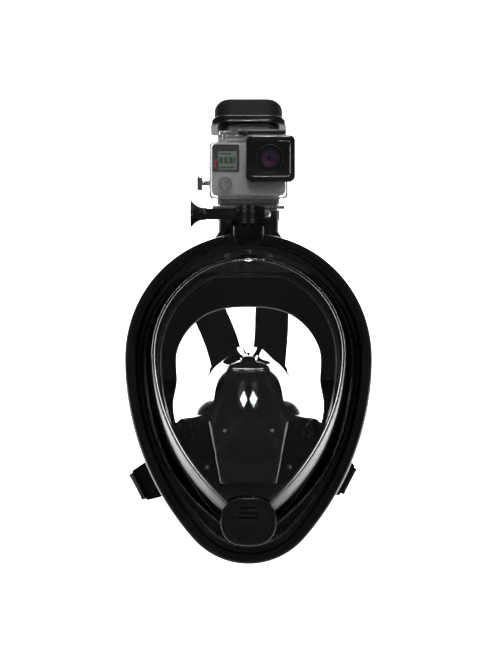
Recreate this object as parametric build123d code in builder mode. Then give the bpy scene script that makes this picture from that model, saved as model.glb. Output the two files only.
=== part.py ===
"""Full face snorkel mask with a fitted action camera, as an assembly of separate pieces.

Row frame, millimetres: +X is the right-hand side seen from the front, +Y runs from the visor
towards the wearer's head, +Z is up. The origin is the centre of the face seal: x = 0 and z = 0 lie
on the widest line of the egg-shaped mask, and y = 0 touches the seal at the middle of the forehead.
Every curved layer of the mask is wrapped round one vertical "head axis" behind the face.
"""

import math
import os

from build123d import *

os.makedirs("parts", exist_ok=True)

# ---------------------------------------------------------------- mask outline, seen from the front
HALF_WIDTH = 100.0  # the egg's top is a half circle of this radius
CHIN_DROP = 164.0  # widest line down to the chin
CHIN_R = 60.0

# ------------------------------------------------------------- layers, as radii from the head axis
HEAD_AXIS_Y = 110.0
BEZEL_R = 170.0  # front of the bezel
LIP_R = 166.0  # back of the bezel's front lip
FLANGE_R = (161.6, 165.8)  # visor flange
BEAD_R = (156.2, 161.4)  # skirt's bead, squeezed between the visor and the rear frame
REAR_R = (151.0, 156.0)  # rear frame
SEAL_R = 110.0  # the face seal
LIP_WALL = 3.0
TUNNEL_R = 169.5  # the eye chamber's wall ends here, just behind the visor
BEZEL_WIDTH = 9.0
BEZEL_WALL = 3.6
FLANGE_INSET = (3.9, 21.5)
SKIRT_INSET = 8.5
SKIRT_FRONT = 62.0  # the skirt's taper starts this far in front of y = 0
SKIRT_TAPER = 8.0
SKIRT_WALL = 2.5
EYE_INSET = 27.0
EYE_TOP = 68.0  # flat top edge of the eye chamber
GAP = 0.3

# ------------------------------------------------------------------------------------ visor dome
VISOR_WALL = 2.4
VISOR_TAPER = 7.0
DOME_INSET = 17.0  # of the dome's wall at its back
DOME_BACK, DOME_KNEE, DOME_FRONT = 25.0, 50.0, 115.0  # distances in front of y = 0
FRONT_EGG = (71.9, 99.0, 30.0)  # the dome narrows to this outline at DOME_FRONT
VISOR_PROFILE = [(-76, 100), (-88, 60), (-96, 0), (-92, -60), (-79, -110), (-65, -148), (-60, -170)]

# ---------------------------------------------------------------------------- chin drain valve
DRAIN_Z = -130.0  # middle of the valve
DRAIN_TOP_Z, DRAIN_HALF, DRAIN_HIGH, DRAIN_CORNER = -110.0, 22.0, 38.0, 17.0
DRAIN_COVER_R = 17.6
DRAIN_BORE_R = 15.0
DRAIN_FRONT = 82.0
DRAIN_BACK = 57.0
DRAIN_SEAT = (62.0, 65.0)  # distance of the seat plate in front of y = 0
DRAIN_SLOTS_Z = (4.0, 8.0, 12.0)
DRAIN_SMILE_R, DRAIN_GROOVE_R = 9.6, 14.8  # the curved slot below them, and the groove round it

# ------------------------------------------------------------------------------ snorkel tube
TUBE_LEAN = 25.0
TUBE_ROOT = (0, -24.0, 96.0)
TUBE_WIDE, TUBE_DEEP, TUBE_CORNER = 50.4, 28.0, 11.0
PLUG_WIDE, PLUG_DEEP, PLUG_CORNER = 44.6, 22.2, 9.0
PLUG_GAP = 0.25
SOCKET_TOP = 14.0
TUBE_TOP = 98.0
COLLAR_WIDE, COLLAR_DEEP, COLLAR_HIGH = 62.0, 36.0, 7.0
CAP_WIDE, CAP_DEEP, CAP_HIGH = 56.0, 31.0, 19.0
CAP_WALL = 2.0
CHANNEL_X = (-14.2, 0, 14.2)  # exhaled air goes up the outer channels, fresh air down the middle
CHANNEL_WIDE, CHANNEL_DEEP = 12.0, 17.0

# ------------------------------------------------------------------- camera, fork and thumb screw
TILT_Y, TILT_Z = -56.0, 115.5
FINGER, FINGER_PITCH, FINGER_R = 3.0, 6.2, 7.5
BOLT_R, BOLT_BORE_R = 2.5, 2.56
HOUSING_X = 35.0
HOUSING_Z = (124.5, 177.0)
HOUSING_Y = (-76.0, -42.0)
HOUSING_WALL = 2.4
HOUSING_CORNER = 7.0
DOOR_Y = (-41.7, -38.2)
HINGE_Y, HINGE_Z, HINGE_R, HINGE_PIN_R = -41.2, 121.2, 2.6, 1.2
PORT_CENTRE = (17.5, 158.6)
PORT_SIZE = (39.0, 37.2)
PORT_FRONT = -84.0

tube_plane = Plane(
    origin=TUBE_ROOT,
    x_dir=(1, 0, 0),
    z_dir=(0, math.sin(math.radians(TUBE_LEAN)), math.cos(math.radians(TUBE_LEAN))),
)


# =========================================================================== shared helpers
def write(shape, name):
    """Label a finished piece and export it as its own node."""
    shape.label = name
    export_step(shape, f"parts/{name}.step")


def side_arc(half_width, chin_drop, chin_r):
    """Radius of an egg's side arcs, how far their centres lie past the middle, and their angle."""
    chin_c = chin_drop - chin_r
    radius = (chin_c**2 + half_width**2 - chin_r**2) / (2 * (half_width - chin_r))
    past = radius - half_width
    return radius, past, math.degrees(math.atan2(chin_c, past))


def egg_shape(half_width, chin_drop, chin_r):
    """Egg of four tangent arcs: a half circle above z = 0, two side arcs and a chin arc."""
    radius, past, turn = side_arc(half_width, chin_drop, chin_r)
    with BuildSketch() as outline:
        with BuildLine():
            CenterArc((0, 0), half_width, 0, 180)
            CenterArc((past, 0), radius, 180, turn)
            CenterArc((0, chin_r - chin_drop), chin_r, 180 + turn, 180 - 2 * turn)
            CenterArc((-past, 0), radius, -turn, turn)
        make_face()
    return outline.sketch


def egg(inset):
    """Face of the mask outline drawn in by inset."""
    return egg_shape(HALF_WIDTH - inset, CHIN_DROP - inset, CHIN_R - inset)


def layer(r_near, r_far):
    """Upright tube of space between two radii from the head axis."""
    with BuildPart() as tube:
        with BuildSketch(Plane.XY.offset(-200)):
            with Locations((0, HEAD_AXIS_Y)):
                Circle(r_far)
                Circle(r_near, mode=Mode.SUBTRACT)
        extrude(amount=400)
    return tube.part


def band(outer_inset, inner_inset, r_near, r_far):
    """A ring of the mask outline, wrapped between two radii. inner_inset None leaves it filled."""
    with BuildPart() as ring:
        with BuildSketch(Plane.XZ.offset(-62)):
            add(egg(outer_inset))
            if inner_inset is not None:
                add(egg(inner_inset), mode=Mode.SUBTRACT)
        extrude(amount=150)
        add(layer(r_near, r_far), mode=Mode.INTERSECT)
    return ring.part


def face_opening():
    """Outline of the hole that the wearer's face seals against."""
    with BuildSketch() as outline:
        with BuildLine():
            right = Spline(
                [(0, 42), (39, 33), (58, 8), (59, -20), (62, -40), (48, -76), (0, -100)],
                tangents=[(1, 0), (-1, 0)],
            )
            mirror(right, about=Plane.YZ)
        make_face()
    return outline.sketch


def eye_outline(inset):
    """Eye chamber outline: the mask's egg, flat across the top."""
    with BuildSketch() as outline:
        add(egg(EYE_INSET + inset))
        with Locations((0, EYE_TOP - inset)):
            Rectangle(300, 100, align=(Align.CENTER, Align.MIN), mode=Mode.SUBTRACT)
    return outline.sketch


def along_y(radius, front, back, points):
    """Round pins along Y at the given (x, z) points, from y = front to y = back."""
    with BuildPart() as pins:
        with BuildSketch(Plane.XZ.offset(-back)):
            with Locations(*points):
                Circle(radius)
        extrude(amount=back - front)
    return pins.part


def ring_points(radius_inset, count, start_deg):
    """Evenly turned points of the outline's upper and lower arcs for the frame screws."""
    side_r, side_c, side_turn = side_arc(HALF_WIDTH, CHIN_DROP, CHIN_R)
    points = []
    for i in range(count):
        a = math.radians(start_deg + 360 * i / count)
        if math.sin(a) >= 0:
            r = HALF_WIDTH - radius_inset
            points.append((r * math.cos(a), r * math.sin(a)))
        else:
            side = math.copysign(1, math.cos(a))
            drop = -math.degrees(math.asin(math.sin(a))) / 90 * side_turn
            r = side_r - radius_inset
            b = math.radians(drop)
            points.append((side * (r * math.cos(b) - side_c), -r * math.sin(b)))
    return points


# =========================================================================== 1. frame and visor
SCREW_POINTS = ring_points(6.2, 10, 18)
SCREW_R, SCREW_HOLE_R, SCREW_HEAD_R = 1.1, 1.2, 1.9


def layer_y(x, radius):
    """y where the layer of that radius stands at x."""
    return HEAD_AXIS_Y - math.sqrt(radius**2 - x**2)


with BuildPart() as front_frame:
    add(band(0, BEZEL_WIDTH, REAR_R[0], BEZEL_R))
    add(band(BEZEL_WALL, None, REAR_R[0] - 10, LIP_R), mode=Mode.SUBTRACT)
    for x, z in SCREW_POINTS:
        back = layer_y(x, LIP_R)
        add(along_y(SCREW_HOLE_R, back - 2.5, back + 2, [(x, z)]), mode=Mode.SUBTRACT)
write(front_frame.part, "front_frame")

SCREW_HOLES = along_y(SCREW_HOLE_R, -60, 20, SCREW_POINTS)


def skirt_body(inset):
    """Tapered outside of the skirt, drawn in by inset, as a filled body."""
    with BuildPart() as body:
        with BuildSketch(Plane.XZ.offset(SKIRT_FRONT)):
            add(egg(SKIRT_INSET + inset))
        extrude(amount=-SKIRT_FRONT - 60, taper=SKIRT_TAPER)
    return body.part


with BuildPart() as rear_frame:
    add(band(BEZEL_WALL + GAP, None, *REAR_R))
    add(skirt_body(-GAP), mode=Mode.SUBTRACT)
    add(SCREW_HOLES, mode=Mode.SUBTRACT)
write(rear_frame.part, "rear_frame")

with BuildPart() as frame_screws:
    for x, z in SCREW_POINTS:
        seat = layer_y(abs(x) + SCREW_HEAD_R, REAR_R[0]) + 0.1
        add(along_y(SCREW_R, layer_y(x, LIP_R) - 2.0, seat, [(x, z)]))
        with BuildSketch(Plane.XZ.offset(-seat - 1.4)):
            with Locations((x, z)):
                Circle(SCREW_HEAD_R)
                RegularPolygon(1.1, 6, mode=Mode.SUBTRACT)
        extrude(amount=1.4)
write(frame_screws.part, "frame_screws")


def barrel(shrink):
    """Solid behind the visor's smooth front, drawn in by shrink, turned round the head axis."""
    with BuildPart() as turned:
        with BuildSketch(Plane.YZ):
            with BuildLine():
                front = Spline([(y + shrink, z) for y, z in VISOR_PROFILE])
                Polyline(front @ 1, (HEAD_AXIS_Y, -170), (HEAD_AXIS_Y, 100), front @ 0)
            make_face()
        revolve(axis=Axis((0, HEAD_AXIS_Y, 0), (0, 0, 1)), revolution_arc=360)
    return turned.part


def dome_front(shrink):
    """Front half of the dome: from the knee it narrows to a shorter egg, most at the chin."""
    knee_inset = DOME_INSET + (DOME_KNEE - DOME_BACK) * math.tan(math.radians(VISOR_TAPER))
    with BuildPart() as body:
        with BuildSketch(Plane.XZ.offset(DOME_KNEE)):
            add(egg(knee_inset + shrink))
        with BuildSketch(Plane.XZ.offset(DOME_FRONT)):
            add(egg_shape(*[size - shrink for size in FRONT_EGG]))
        loft(ruled=True)
    return body.part


def dome(shrink):
    """Tapered body of the visor dome, drawn in by shrink on every side."""
    with BuildPart() as body:
        with BuildSketch(Plane.XZ.offset(DOME_BACK)):
            add(egg(DOME_INSET + shrink))
        extrude(amount=DOME_KNEE - DOME_BACK, taper=VISOR_TAPER)
        add(dome_front(shrink))
        add(barrel(shrink), mode=Mode.INTERSECT)
    return body.part


def drain_outline(grow):
    """Rounded outline of the chin boss."""
    with BuildSketch() as outline:
        with Locations((0, DRAIN_TOP_Z - DRAIN_HIGH / 2)):
            RectangleRounded(2 * (DRAIN_HALF + grow), DRAIN_HIGH + 2 * grow, DRAIN_CORNER + grow)
    return outline.sketch


with BuildPart() as visor:
    add(dome(0))
    add(dome(VISOR_WALL), mode=Mode.SUBTRACT)
    add(layer(FLANGE_R[0], 400), mode=Mode.INTERSECT)
    add(band(*FLANGE_INSET, *FLANGE_R))
    with BuildSketch(Plane.XZ.offset(20)):
        add(drain_outline(GAP))
    extrude(amount=100, mode=Mode.SUBTRACT)
    add(SCREW_HOLES, mode=Mode.SUBTRACT)
write(visor.part, "visor")

# =========================================================================== 2. soft parts
with BuildPart() as skirt_lip:
    add(skirt_body(0))
    add(layer(SEAL_R, SEAL_R + LIP_WALL), mode=Mode.INTERSECT)
    with BuildSketch(Plane.XZ.offset(-60)):
        add(face_opening())
    extrude(amount=150, mode=Mode.SUBTRACT)

with BuildPart() as eye_tunnel:
    with BuildSketch(Plane.XZ.offset(-60)):
        add(eye_outline(0))
        add(eye_outline(SKIRT_WALL), mode=Mode.SUBTRACT)
    extrude(amount=150)
    add(layer(SEAL_R + LIP_WALL - 1, TUNNEL_R), mode=Mode.INTERSECT)

with BuildPart() as face_skirt:
    add(skirt_body(0))
    add(skirt_body(SKIRT_WALL), mode=Mode.SUBTRACT)
    add(layer(SEAL_R + 1, BEAD_R[0] + 1), mode=Mode.INTERSECT)
    add(band(BEZEL_WALL + GAP, 13.5, *BEAD_R))
    add(skirt_lip.part)
    add(eye_tunnel.part)
    add(SCREW_HOLES, mode=Mode.SUBTRACT)
    with BuildSketch(tube_plane.offset(-30)):  # air ports through the forehead, under the socket
        with Locations(*[(x, 0) for x in CHANNEL_X]):
            RectangleRounded(CHANNEL_WIDE - 2, CHANNEL_DEEP - 5, 3)
    extrude(amount=40, mode=Mode.SUBTRACT)
    with BuildSketch(Plane.XZ.offset(DRAIN_BACK - GAP)):  # room for the chin drain
        add(drain_outline(GAP))
    extrude(amount=40, mode=Mode.SUBTRACT)
write(face_skirt.part, "face_skirt")


# ---------------------------------------------------------------------- nose and mouth pocket
POCKET_BACK_Y, POCKET_FRONT_Y = 14.0, -66.0
POCKET_BACK = [(-72, -50), (-14, 22), (14, 22), (72, -50), (42, -116), (-42, -116)]
POCKET_FRONT = [(-30, -50), (-14, -8), (14, -8), (30, -50), (22, -100), (-22, -100)]
POCKET_WALL = 2.5
VALVE_POINT = (48.5, -26.0, -58.0)  # where the right-hand valve sits in the pocket's cheek
VALVE_NORMAL = (0.864, -0.4286, -0.265)
VALVE_R, VALVE_OPEN_R, VALVE_FLAP_R, VALVE_FLAP = 9.0, 6.0, 7.4, 0.8
VALVE_SINK, VALVE_PROUD = 3.4, 1.0
STUD_POINTS = [(18.8, -66.0, -57.0), (33.2, -42.6, -87.0)]  # right-hand ones
STUD_R = 1.5


def pocket_outline(points, corner, shrink):
    """Rounded outline through the given corners, drawn in by shrink."""
    with BuildSketch() as outline:
        Polygon(*points, align=None)
        fillet(outline.vertices(), radius=corner)
        if shrink:
            offset(amount=-shrink, mode=Mode.REPLACE)
    return outline.sketch


def pocket_body(shrink):
    """Loft of the pocket from the face side to the front, drawn in by shrink."""
    with BuildPart() as body:
        with BuildSketch(Plane.XZ.offset(-POCKET_BACK_Y)):
            add(pocket_outline(POCKET_BACK, 13, shrink))
        with BuildSketch(Plane.XZ.offset(-POCKET_FRONT_Y - shrink)):
            add(pocket_outline(POCKET_FRONT, 5, shrink))
        loft()
    return body.part


def valve_plane(side, shift):
    """Plane across a cheek valve, its normal pointing out of the pocket. side is 1 or -1."""
    x, y, z = VALVE_POINT
    nx, ny, nz = VALVE_NORMAL
    plane = Plane(origin=(side * x, y, z), x_dir=(0, 0, 1), z_dir=(side * nx, ny, nz))
    return plane.offset(shift)


def studs(radius, front, back):
    """The pocket's four studs, reaching from front to back of the wall's surface."""
    with BuildPart() as pins:
        for x, y, z in STUD_POINTS:
            add(along_y(radius, y + front, y + back, [(x, z), (-x, z)]))
    return pins.part


with BuildPart() as nose_pocket:
    add(pocket_body(0))
    add(pocket_body(POCKET_WALL), mode=Mode.SUBTRACT)
    add(layer(SEAL_R + LIP_WALL + GAP, 400), mode=Mode.INTERSECT)
    with BuildSketch(Plane.XZ.offset(-60)):
        add(eye_outline(SKIRT_WALL + GAP))
    extrude(amount=150, mode=Mode.INTERSECT)
    for side in (1, -1):
        with BuildSketch(valve_plane(side, -8)):
            Circle(VALVE_R + 0.1)
        extrude(amount=16, mode=Mode.SUBTRACT)
    with BuildSketch(Plane.XY.offset(-125)):  # way down to the chin drain
        with Locations((0, -56)):
            RectangleRounded(16, 12, 4)
    extrude(amount=35, mode=Mode.SUBTRACT)
    add(studs(STUD_R + 0.05, -10, 8), mode=Mode.SUBTRACT)
write(nose_pocket.part, "nose_pocket")

with BuildPart() as pocket_studs:
    add(studs(STUD_R, -2.4, 3.0))
write(pocket_studs.part, "pocket_studs")

for name, side in (("right", 1), ("left", -1)):
    with BuildPart() as inhale_seat:
        with BuildSketch(valve_plane(side, -VALVE_SINK)):
            Circle(VALVE_R)
            Circle(VALVE_OPEN_R, mode=Mode.SUBTRACT)
        extrude(amount=VALVE_SINK + VALVE_PROUD)
        with BuildSketch(valve_plane(side, -VALVE_SINK)):  # cross behind which the flap rests
            Rectangle(2 * VALVE_OPEN_R + 1, 1.4)
            Rectangle(1.4, 2 * VALVE_OPEN_R + 1)
        extrude(amount=1.4)
    write(inhale_seat.part, f"inhale_seat_{name}")
    with BuildPart() as inhale_flap:
        with BuildSketch(valve_plane(side, -VALVE_SINK - 0.1 - VALVE_FLAP)):
            Circle(VALVE_FLAP_R)
        extrude(amount=VALVE_FLAP)
    write(inhale_flap.part, f"inhale_flap_{name}")

# ------------------------------------------------------------------------------- chin drain
with BuildPart() as drain_body:
    with BuildSketch(Plane.XZ.offset(DRAIN_BACK)):
        add(drain_outline(0))
    extrude(amount=DRAIN_FRONT - DRAIN_BACK)
    fillet(drain_body.faces().sort_by(Axis.Y)[0].outer_wire().edges(), radius=1.6)
    for radius, near, far in (
        (DRAIN_BORE_R, DRAIN_SEAT[1], DRAIN_FRONT + 1),
        (DRAIN_BORE_R - 2, DRAIN_BACK - 1, DRAIN_SEAT[0]),
    ):
        add(along_y(radius, -far, -near, [(0, DRAIN_Z)]), mode=Mode.SUBTRACT)
    with BuildSketch(Plane.XZ.offset(DRAIN_BACK - 1)):
        with Locations((0, DRAIN_Z)):
            Circle(1.6)
            with PolarLocations(8.2, 6):
                Circle(3.0)
    extrude(amount=20, mode=Mode.SUBTRACT)
write(drain_body.part, "drain_body")

with BuildPart() as drain_flap:  # mushroom valve: a disc in front of the seat, its stem through it
    seat_back, seat_front = DRAIN_SEAT
    add(along_y(12.6, -seat_front - 1.1, -seat_front - 0.1, [(0, DRAIN_Z)]))
    add(along_y(1.5, -seat_front - 0.5, -seat_back + 3, [(0, DRAIN_Z)]))
    add(along_y(2.6, -seat_back + 1.8, -seat_back + 3.8, [(0, DRAIN_Z)]))
write(drain_flap.part, "drain_flap")

with BuildPart() as drain_cover:
    add(along_y(DRAIN_COVER_R, -DRAIN_FRONT - 2.4, -DRAIN_FRONT - 0.05, [(0, DRAIN_Z)]))
    with BuildSketch(Plane.XZ.offset(DRAIN_FRONT - 5)):
        with Locations((0, DRAIN_Z)):
            Circle(DRAIN_BORE_R - 0.15)
            Circle(DRAIN_BORE_R - 2.2, mode=Mode.SUBTRACT)
    extrude(amount=5.1)
    with BuildSketch(Plane.XZ.offset(DRAIN_FRONT - 2)):
        for rise in DRAIN_SLOTS_Z:
            with Locations((0, DRAIN_Z + rise)):
                SlotOverall(18 - rise / 2, 1.8)
        with Locations((0, DRAIN_Z)):
            SlotArc(CenterArc((0, 0), DRAIN_SMILE_R, 205, 130), 1.8)
    extrude(amount=6, mode=Mode.SUBTRACT)
    with BuildSketch(Plane.XZ.offset(DRAIN_FRONT + 1.2)):
        with Locations((0, DRAIN_Z)):
            SlotArc(CenterArc((0, 0), DRAIN_GROOVE_R, 200, 140), 1.8)
    extrude(amount=6, mode=Mode.SUBTRACT)
write(drain_cover.part, "drain_cover")

# ------------------------------------------------------------------------- fresh air inlet
INLET_Z = 79.5
INLET_SCREW_X, INLET_SCREW_Z = 17.0, 81.0
BROW_R = (157.6, 159.8)
BROW_INSET = 14.5

with BuildPart() as brow_plate:  # closes the space above the eye chamber; the fresh air duct is in it
    add(band(BROW_INSET, None, *BROW_R))
    with BuildSketch(Plane.XZ.offset(-60)):
        with Locations((0, EYE_TOP + 0.6)):
            Rectangle(300, 400, align=(Align.CENTER, Align.MAX))
    extrude(amount=150, mode=Mode.SUBTRACT)
    with BuildSketch(Plane.XZ.offset(34)):
        with Locations((0, INLET_Z)):
            RectangleRounded(15, 9, 2)
    extrude(amount=15)
    with BuildSketch(Plane.XZ.offset(33)):
        with Locations((0, INLET_Z)):
            RectangleRounded(12.6, 6.6, 1)
    extrude(amount=28, mode=Mode.SUBTRACT)
    brow_points = [(side * INLET_SCREW_X, INLET_SCREW_Z) for side in (1, -1)]
    add(along_y(SCREW_HOLE_R, -60, -30, brow_points), mode=Mode.SUBTRACT)
write(brow_plate.part, "brow_plate")

with BuildPart() as brow_screws:
    head_back = layer_y(INLET_SCREW_X - 2.4, BROW_R[1]) - 0.1
    add(along_y(SCREW_R, head_back - 0.4, head_back + 5, brow_points))
    add(along_y(2.4, head_back - 0.5, head_back, brow_points))
write(brow_screws.part, "brow_screws")

# =========================================================================== 3. snorkel
LATCH_DEPTH, LATCH_S = 17.0, 9.0  # latch pin: depth behind the tube's axis, height up it
LATCH_PIN_R, LATCH_WIDE, EAR = 1.0, 15.6, 1.8
PLUG_S = 4.0  # bottom of the plug
SEAT_S = 2.5  # bottom of the socket's hollow
COLLAR_TOP = TUBE_TOP + COLLAR_HIGH
VALVE_PLATE_S = 113.6
CHIMNEY_WIDE, CHIMNEY_DEEP, CHIMNEY_WALL = 10.0, 12.0, 1.2
FLOAT_S, FLOAT_HIGH, FLOAT_SEAL = 105.6, 3.8, 1.0
EXHALE_WIDE, EXHALE_HIGH, EXHALE_FLAP = 9.0, 3.4, 0.8


def stadium(wide, deep, corner, start, end):
    """Straight length of rounded-rectangle bar along the tube's axis."""
    with BuildPart() as bar:
        with BuildSketch(tube_plane.offset(start)):
            RectangleRounded(wide, deep, corner)
        extrude(amount=end - start)
    return bar.part


def channels(start, end, centres=CHANNEL_X):
    """The snorkel's air channels, as bodies to cut away."""
    with BuildPart() as bars:
        with BuildSketch(tube_plane.offset(start)):
            with Locations(*[(x, 0) for x in centres]):
                RectangleRounded(CHANNEL_WIDE, CHANNEL_DEEP, 3)
        extrude(amount=end - start)
    return bars.part


def side_plane(x):
    """Plane across the snorkel's side at x: its x axis points back, its y axis up the tube."""
    plane = Plane(
        origin=tube_plane.from_local_coords(Vector(x, 0, 0)),
        x_dir=tube_plane.y_dir,
        z_dir=(1, 0, 0),
    )
    return plane


with BuildPart() as snorkel_socket:
    with BuildSketch(Plane.XY.offset(70)):
        with Locations((0, -25)):
            RectangleRounded(92, 30, 10)
    with BuildSketch(tube_plane.offset(3)):
        RectangleRounded(TUBE_WIDE, TUBE_DEEP, TUBE_CORNER)
    loft()
    add(stadium(TUBE_WIDE, TUBE_DEEP, TUBE_CORNER, 3, SOCKET_TOP))
    for side in (1, -1):  # ears for the latch
        with BuildSketch(side_plane(side * (LATCH_WIDE / 2 + 0.2 + EAR / 2))):
            with Locations((LATCH_DEPTH - 1.5, LATCH_S)):
                RectangleRounded(8, 7, 2)
        extrude(amount=EAR / 2, both=True)
    add(stadium(PLUG_WIDE + 2 * PLUG_GAP, PLUG_DEEP + 2 * PLUG_GAP, PLUG_CORNER, SEAT_S, 20),
        mode=Mode.SUBTRACT)
    add(channels(-30, 10), mode=Mode.SUBTRACT)
    with BuildSketch(side_plane(-15)):
        with Locations((LATCH_DEPTH, LATCH_S)):
            Circle(LATCH_PIN_R + 0.05)
    extrude(amount=30, mode=Mode.SUBTRACT)
    add(skirt_body(-GAP), mode=Mode.SUBTRACT)
    add(band(-GAP, None, REAR_R[0] - GAP, 400), mode=Mode.SUBTRACT)
write(snorkel_socket.part, "snorkel_socket")

with BuildPart() as tube_gasket:
    add(stadium(PLUG_WIDE - 0.4, PLUG_DEEP - 0.4, PLUG_CORNER, SEAT_S + 0.1, PLUG_S - 0.1))
    add(channels(0, 10), mode=Mode.SUBTRACT)
write(tube_gasket.part, "tube_gasket")

with BuildPart() as tube_latch:
    with BuildSketch(side_plane(-LATCH_WIDE / 2)):
        with BuildLine():
            Polyline(
                (15.3, 4), (18.4, 4), (18.4, 18.4), (13.0, 18.4), (13.0, 16.4), (15.3, 16.4),
                close=True,
            )
        make_face()
    extrude(amount=LATCH_WIDE)
    with BuildSketch(side_plane(-LATCH_WIDE / 2 - EAR)):
        with Locations((LATCH_DEPTH, LATCH_S)):
            Circle(LATCH_PIN_R)
    extrude(amount=LATCH_WIDE + 2 * EAR)
write(tube_latch.part, "tube_latch")

with BuildPart() as snorkel_tube:
    add(stadium(TUBE_WIDE, TUBE_DEEP, TUBE_CORNER, SOCKET_TOP + 0.2, TUBE_TOP))
    add(stadium(PLUG_WIDE, PLUG_DEEP, PLUG_CORNER, PLUG_S, SOCKET_TOP + 1))
    add(channels(0, 100), mode=Mode.SUBTRACT)
    with BuildSketch(side_plane(-LATCH_WIDE / 2 - 0.4)):  # notch for the latch's hook
        with Locations((TUBE_DEEP / 2, 17.7)):
            Rectangle(3.0, 3.2)
    extrude(amount=LATCH_WIDE + 0.8, mode=Mode.SUBTRACT)
write(snorkel_tube.part, "snorkel_tube")

# ------------------------------------------------------------------------------- dry top
with BuildPart() as cap_collar:
    add(stadium(COLLAR_WIDE, COLLAR_DEEP, 14, TUBE_TOP + 0.1, COLLAR_TOP))
    fillet(cap_collar.edges().filter_by(lambda e: abs(e.tangent_at(0).dot(tube_plane.z_dir)) < 0.1),
           radius=1.5)
    add(channels(90, COLLAR_TOP - 1.2, CHANNEL_X[::2]), mode=Mode.SUBTRACT)
    add(stadium(CHIMNEY_WIDE, CHIMNEY_DEEP, 2, 90, 110), mode=Mode.SUBTRACT)
    for x in CHANNEL_X[::2]:  # outlets at the back for the breath
        with BuildSketch(side_plane(x - EXHALE_WIDE / 2)):
            with Locations((14, TUBE_TOP + 3.2)):
                Rectangle(12, EXHALE_HIGH)
        extrude(amount=EXHALE_WIDE, mode=Mode.SUBTRACT)
write(cap_collar.part, "cap_collar")

for name, x in (("left", CHANNEL_X[0]), ("right", CHANNEL_X[2])):
    with BuildPart() as exhale_flap:
        with BuildSketch(side_plane(x - EXHALE_WIDE / 2 - 1)):
            with Locations((COLLAR_DEEP / 2 + 0.1, TUBE_TOP + 3.2)):
                Rectangle(EXHALE_FLAP, EXHALE_HIGH + 1.6, align=(Align.MIN, Align.CENTER))
        extrude(amount=EXHALE_WIDE + 2)
    write(exhale_flap.part, f"exhale_flap_{name}")

with BuildPart() as cap_hollow:
    top = COLLAR_TOP + CAP_HIGH - CAP_WALL
    add(stadium(CAP_WIDE - 2 * CAP_WALL, CAP_DEEP - 2 * CAP_WALL, 11, 100, top))
    fillet(cap_hollow.faces().sort_by(Axis.Z)[-1].edges(), radius=6)

with BuildPart() as dry_top_cap:
    add(stadium(CAP_WIDE, CAP_DEEP, 13, COLLAR_TOP + 0.1, COLLAR_TOP + CAP_HIGH))
    fillet(dry_top_cap.faces().sort_by(Axis.Z)[-1].edges(), radius=9)
    add(cap_hollow.part, mode=Mode.SUBTRACT)
    for x in (-17, -8.5, 0, 8.5, 17):  # inlet slots along the back
        with BuildSketch(side_plane(x - 1.7)):
            with Locations((15, COLLAR_TOP + 4.5)):
                Rectangle(10, 6)
        extrude(amount=3.4, mode=Mode.SUBTRACT)
write(dry_top_cap.part, "dry_top_cap")

with BuildPart() as valve_seat:
    add(stadium(CAP_WIDE - 2 * CAP_WALL - 0.6, CAP_DEEP - 2 * CAP_WALL - 0.6, 10.7,
                VALVE_PLATE_S, VALVE_PLATE_S + 1.6))
    add(stadium(CHIMNEY_WIDE + 2 * CHIMNEY_WALL, CHIMNEY_DEEP + 2 * CHIMNEY_WALL, 2.5,
                COLLAR_TOP + 0.1, VALVE_PLATE_S + 1))
    add(stadium(CHIMNEY_WIDE, CHIMNEY_DEEP, 2, 100, 120), mode=Mode.SUBTRACT)
    with BuildSketch(tube_plane.offset(VALVE_PLATE_S - 1)):
        with Locations((-14, 0), (14, 0)):
            RectangleRounded(8.6, 12, 2)
    extrude(amount=4, mode=Mode.SUBTRACT)
write(valve_seat.part, "valve_seat")

with BuildPart() as float_ring:
    add(stadium(46, 22, 8, FLOAT_S, FLOAT_S + FLOAT_HIGH))
    add(stadium(13.2, 15.2, 3, FLOAT_S - 1, FLOAT_S + FLOAT_HIGH + 1), mode=Mode.SUBTRACT)
write(float_ring.part, "float_ring")

with BuildPart() as float_seal:
    bottom = FLOAT_S + FLOAT_HIGH + 0.05
    add(stadium(44, 20, 7, bottom, bottom + FLOAT_SEAL))
    add(stadium(13.6, 15.6, 3, bottom - 1, bottom + 2), mode=Mode.SUBTRACT)
write(float_seal.part, "float_seal")

# =========================================================================== 4. camera mount
FORK_X = [-FINGER_PITCH, 0, FINGER_PITCH]
HOUSING_FINGER_X = [-FINGER_PITCH / 2, FINGER_PITCH / 2]
BOSS_X = (7.8, 13.0)
NUT_R, BOSS_R = 4.0, 6.5
KNOB_X = (-46.5, -34.0)
KNOB_R, NECK_R, SHANK_R = 10.4, 5.0, 4.5
FLUTES = 10


def across(x_start, x_end, sketch_shape, y=0, z=0):
    """Extrude a (y, z) outline along X between two stations, moved to (y, z)."""
    with BuildPart() as bar:
        with BuildSketch(Plane(origin=(x_start, y, z), x_dir=(0, 1, 0), z_dir=(1, 0, 0))):
            add(sketch_shape)
        extrude(amount=x_end - x_start)
    return bar.part


def disc(radius, bore=0.0):
    """Round outline with an optional bore."""
    with BuildSketch() as shape:
        Circle(radius)
        if bore:
            Circle(bore, mode=Mode.SUBTRACT)
    return shape.sketch


def finger(stem):
    """Finger outline about the tilt axis; its stem reaches to z = stem, measured from the axis."""
    with BuildSketch() as shape:
        Circle(FINGER_R)
        with Locations((0, stem / 2)):
            Rectangle(2 * FINGER_R, abs(stem))
        Circle(BOLT_BORE_R, mode=Mode.SUBTRACT)
    return shape.sketch


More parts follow.
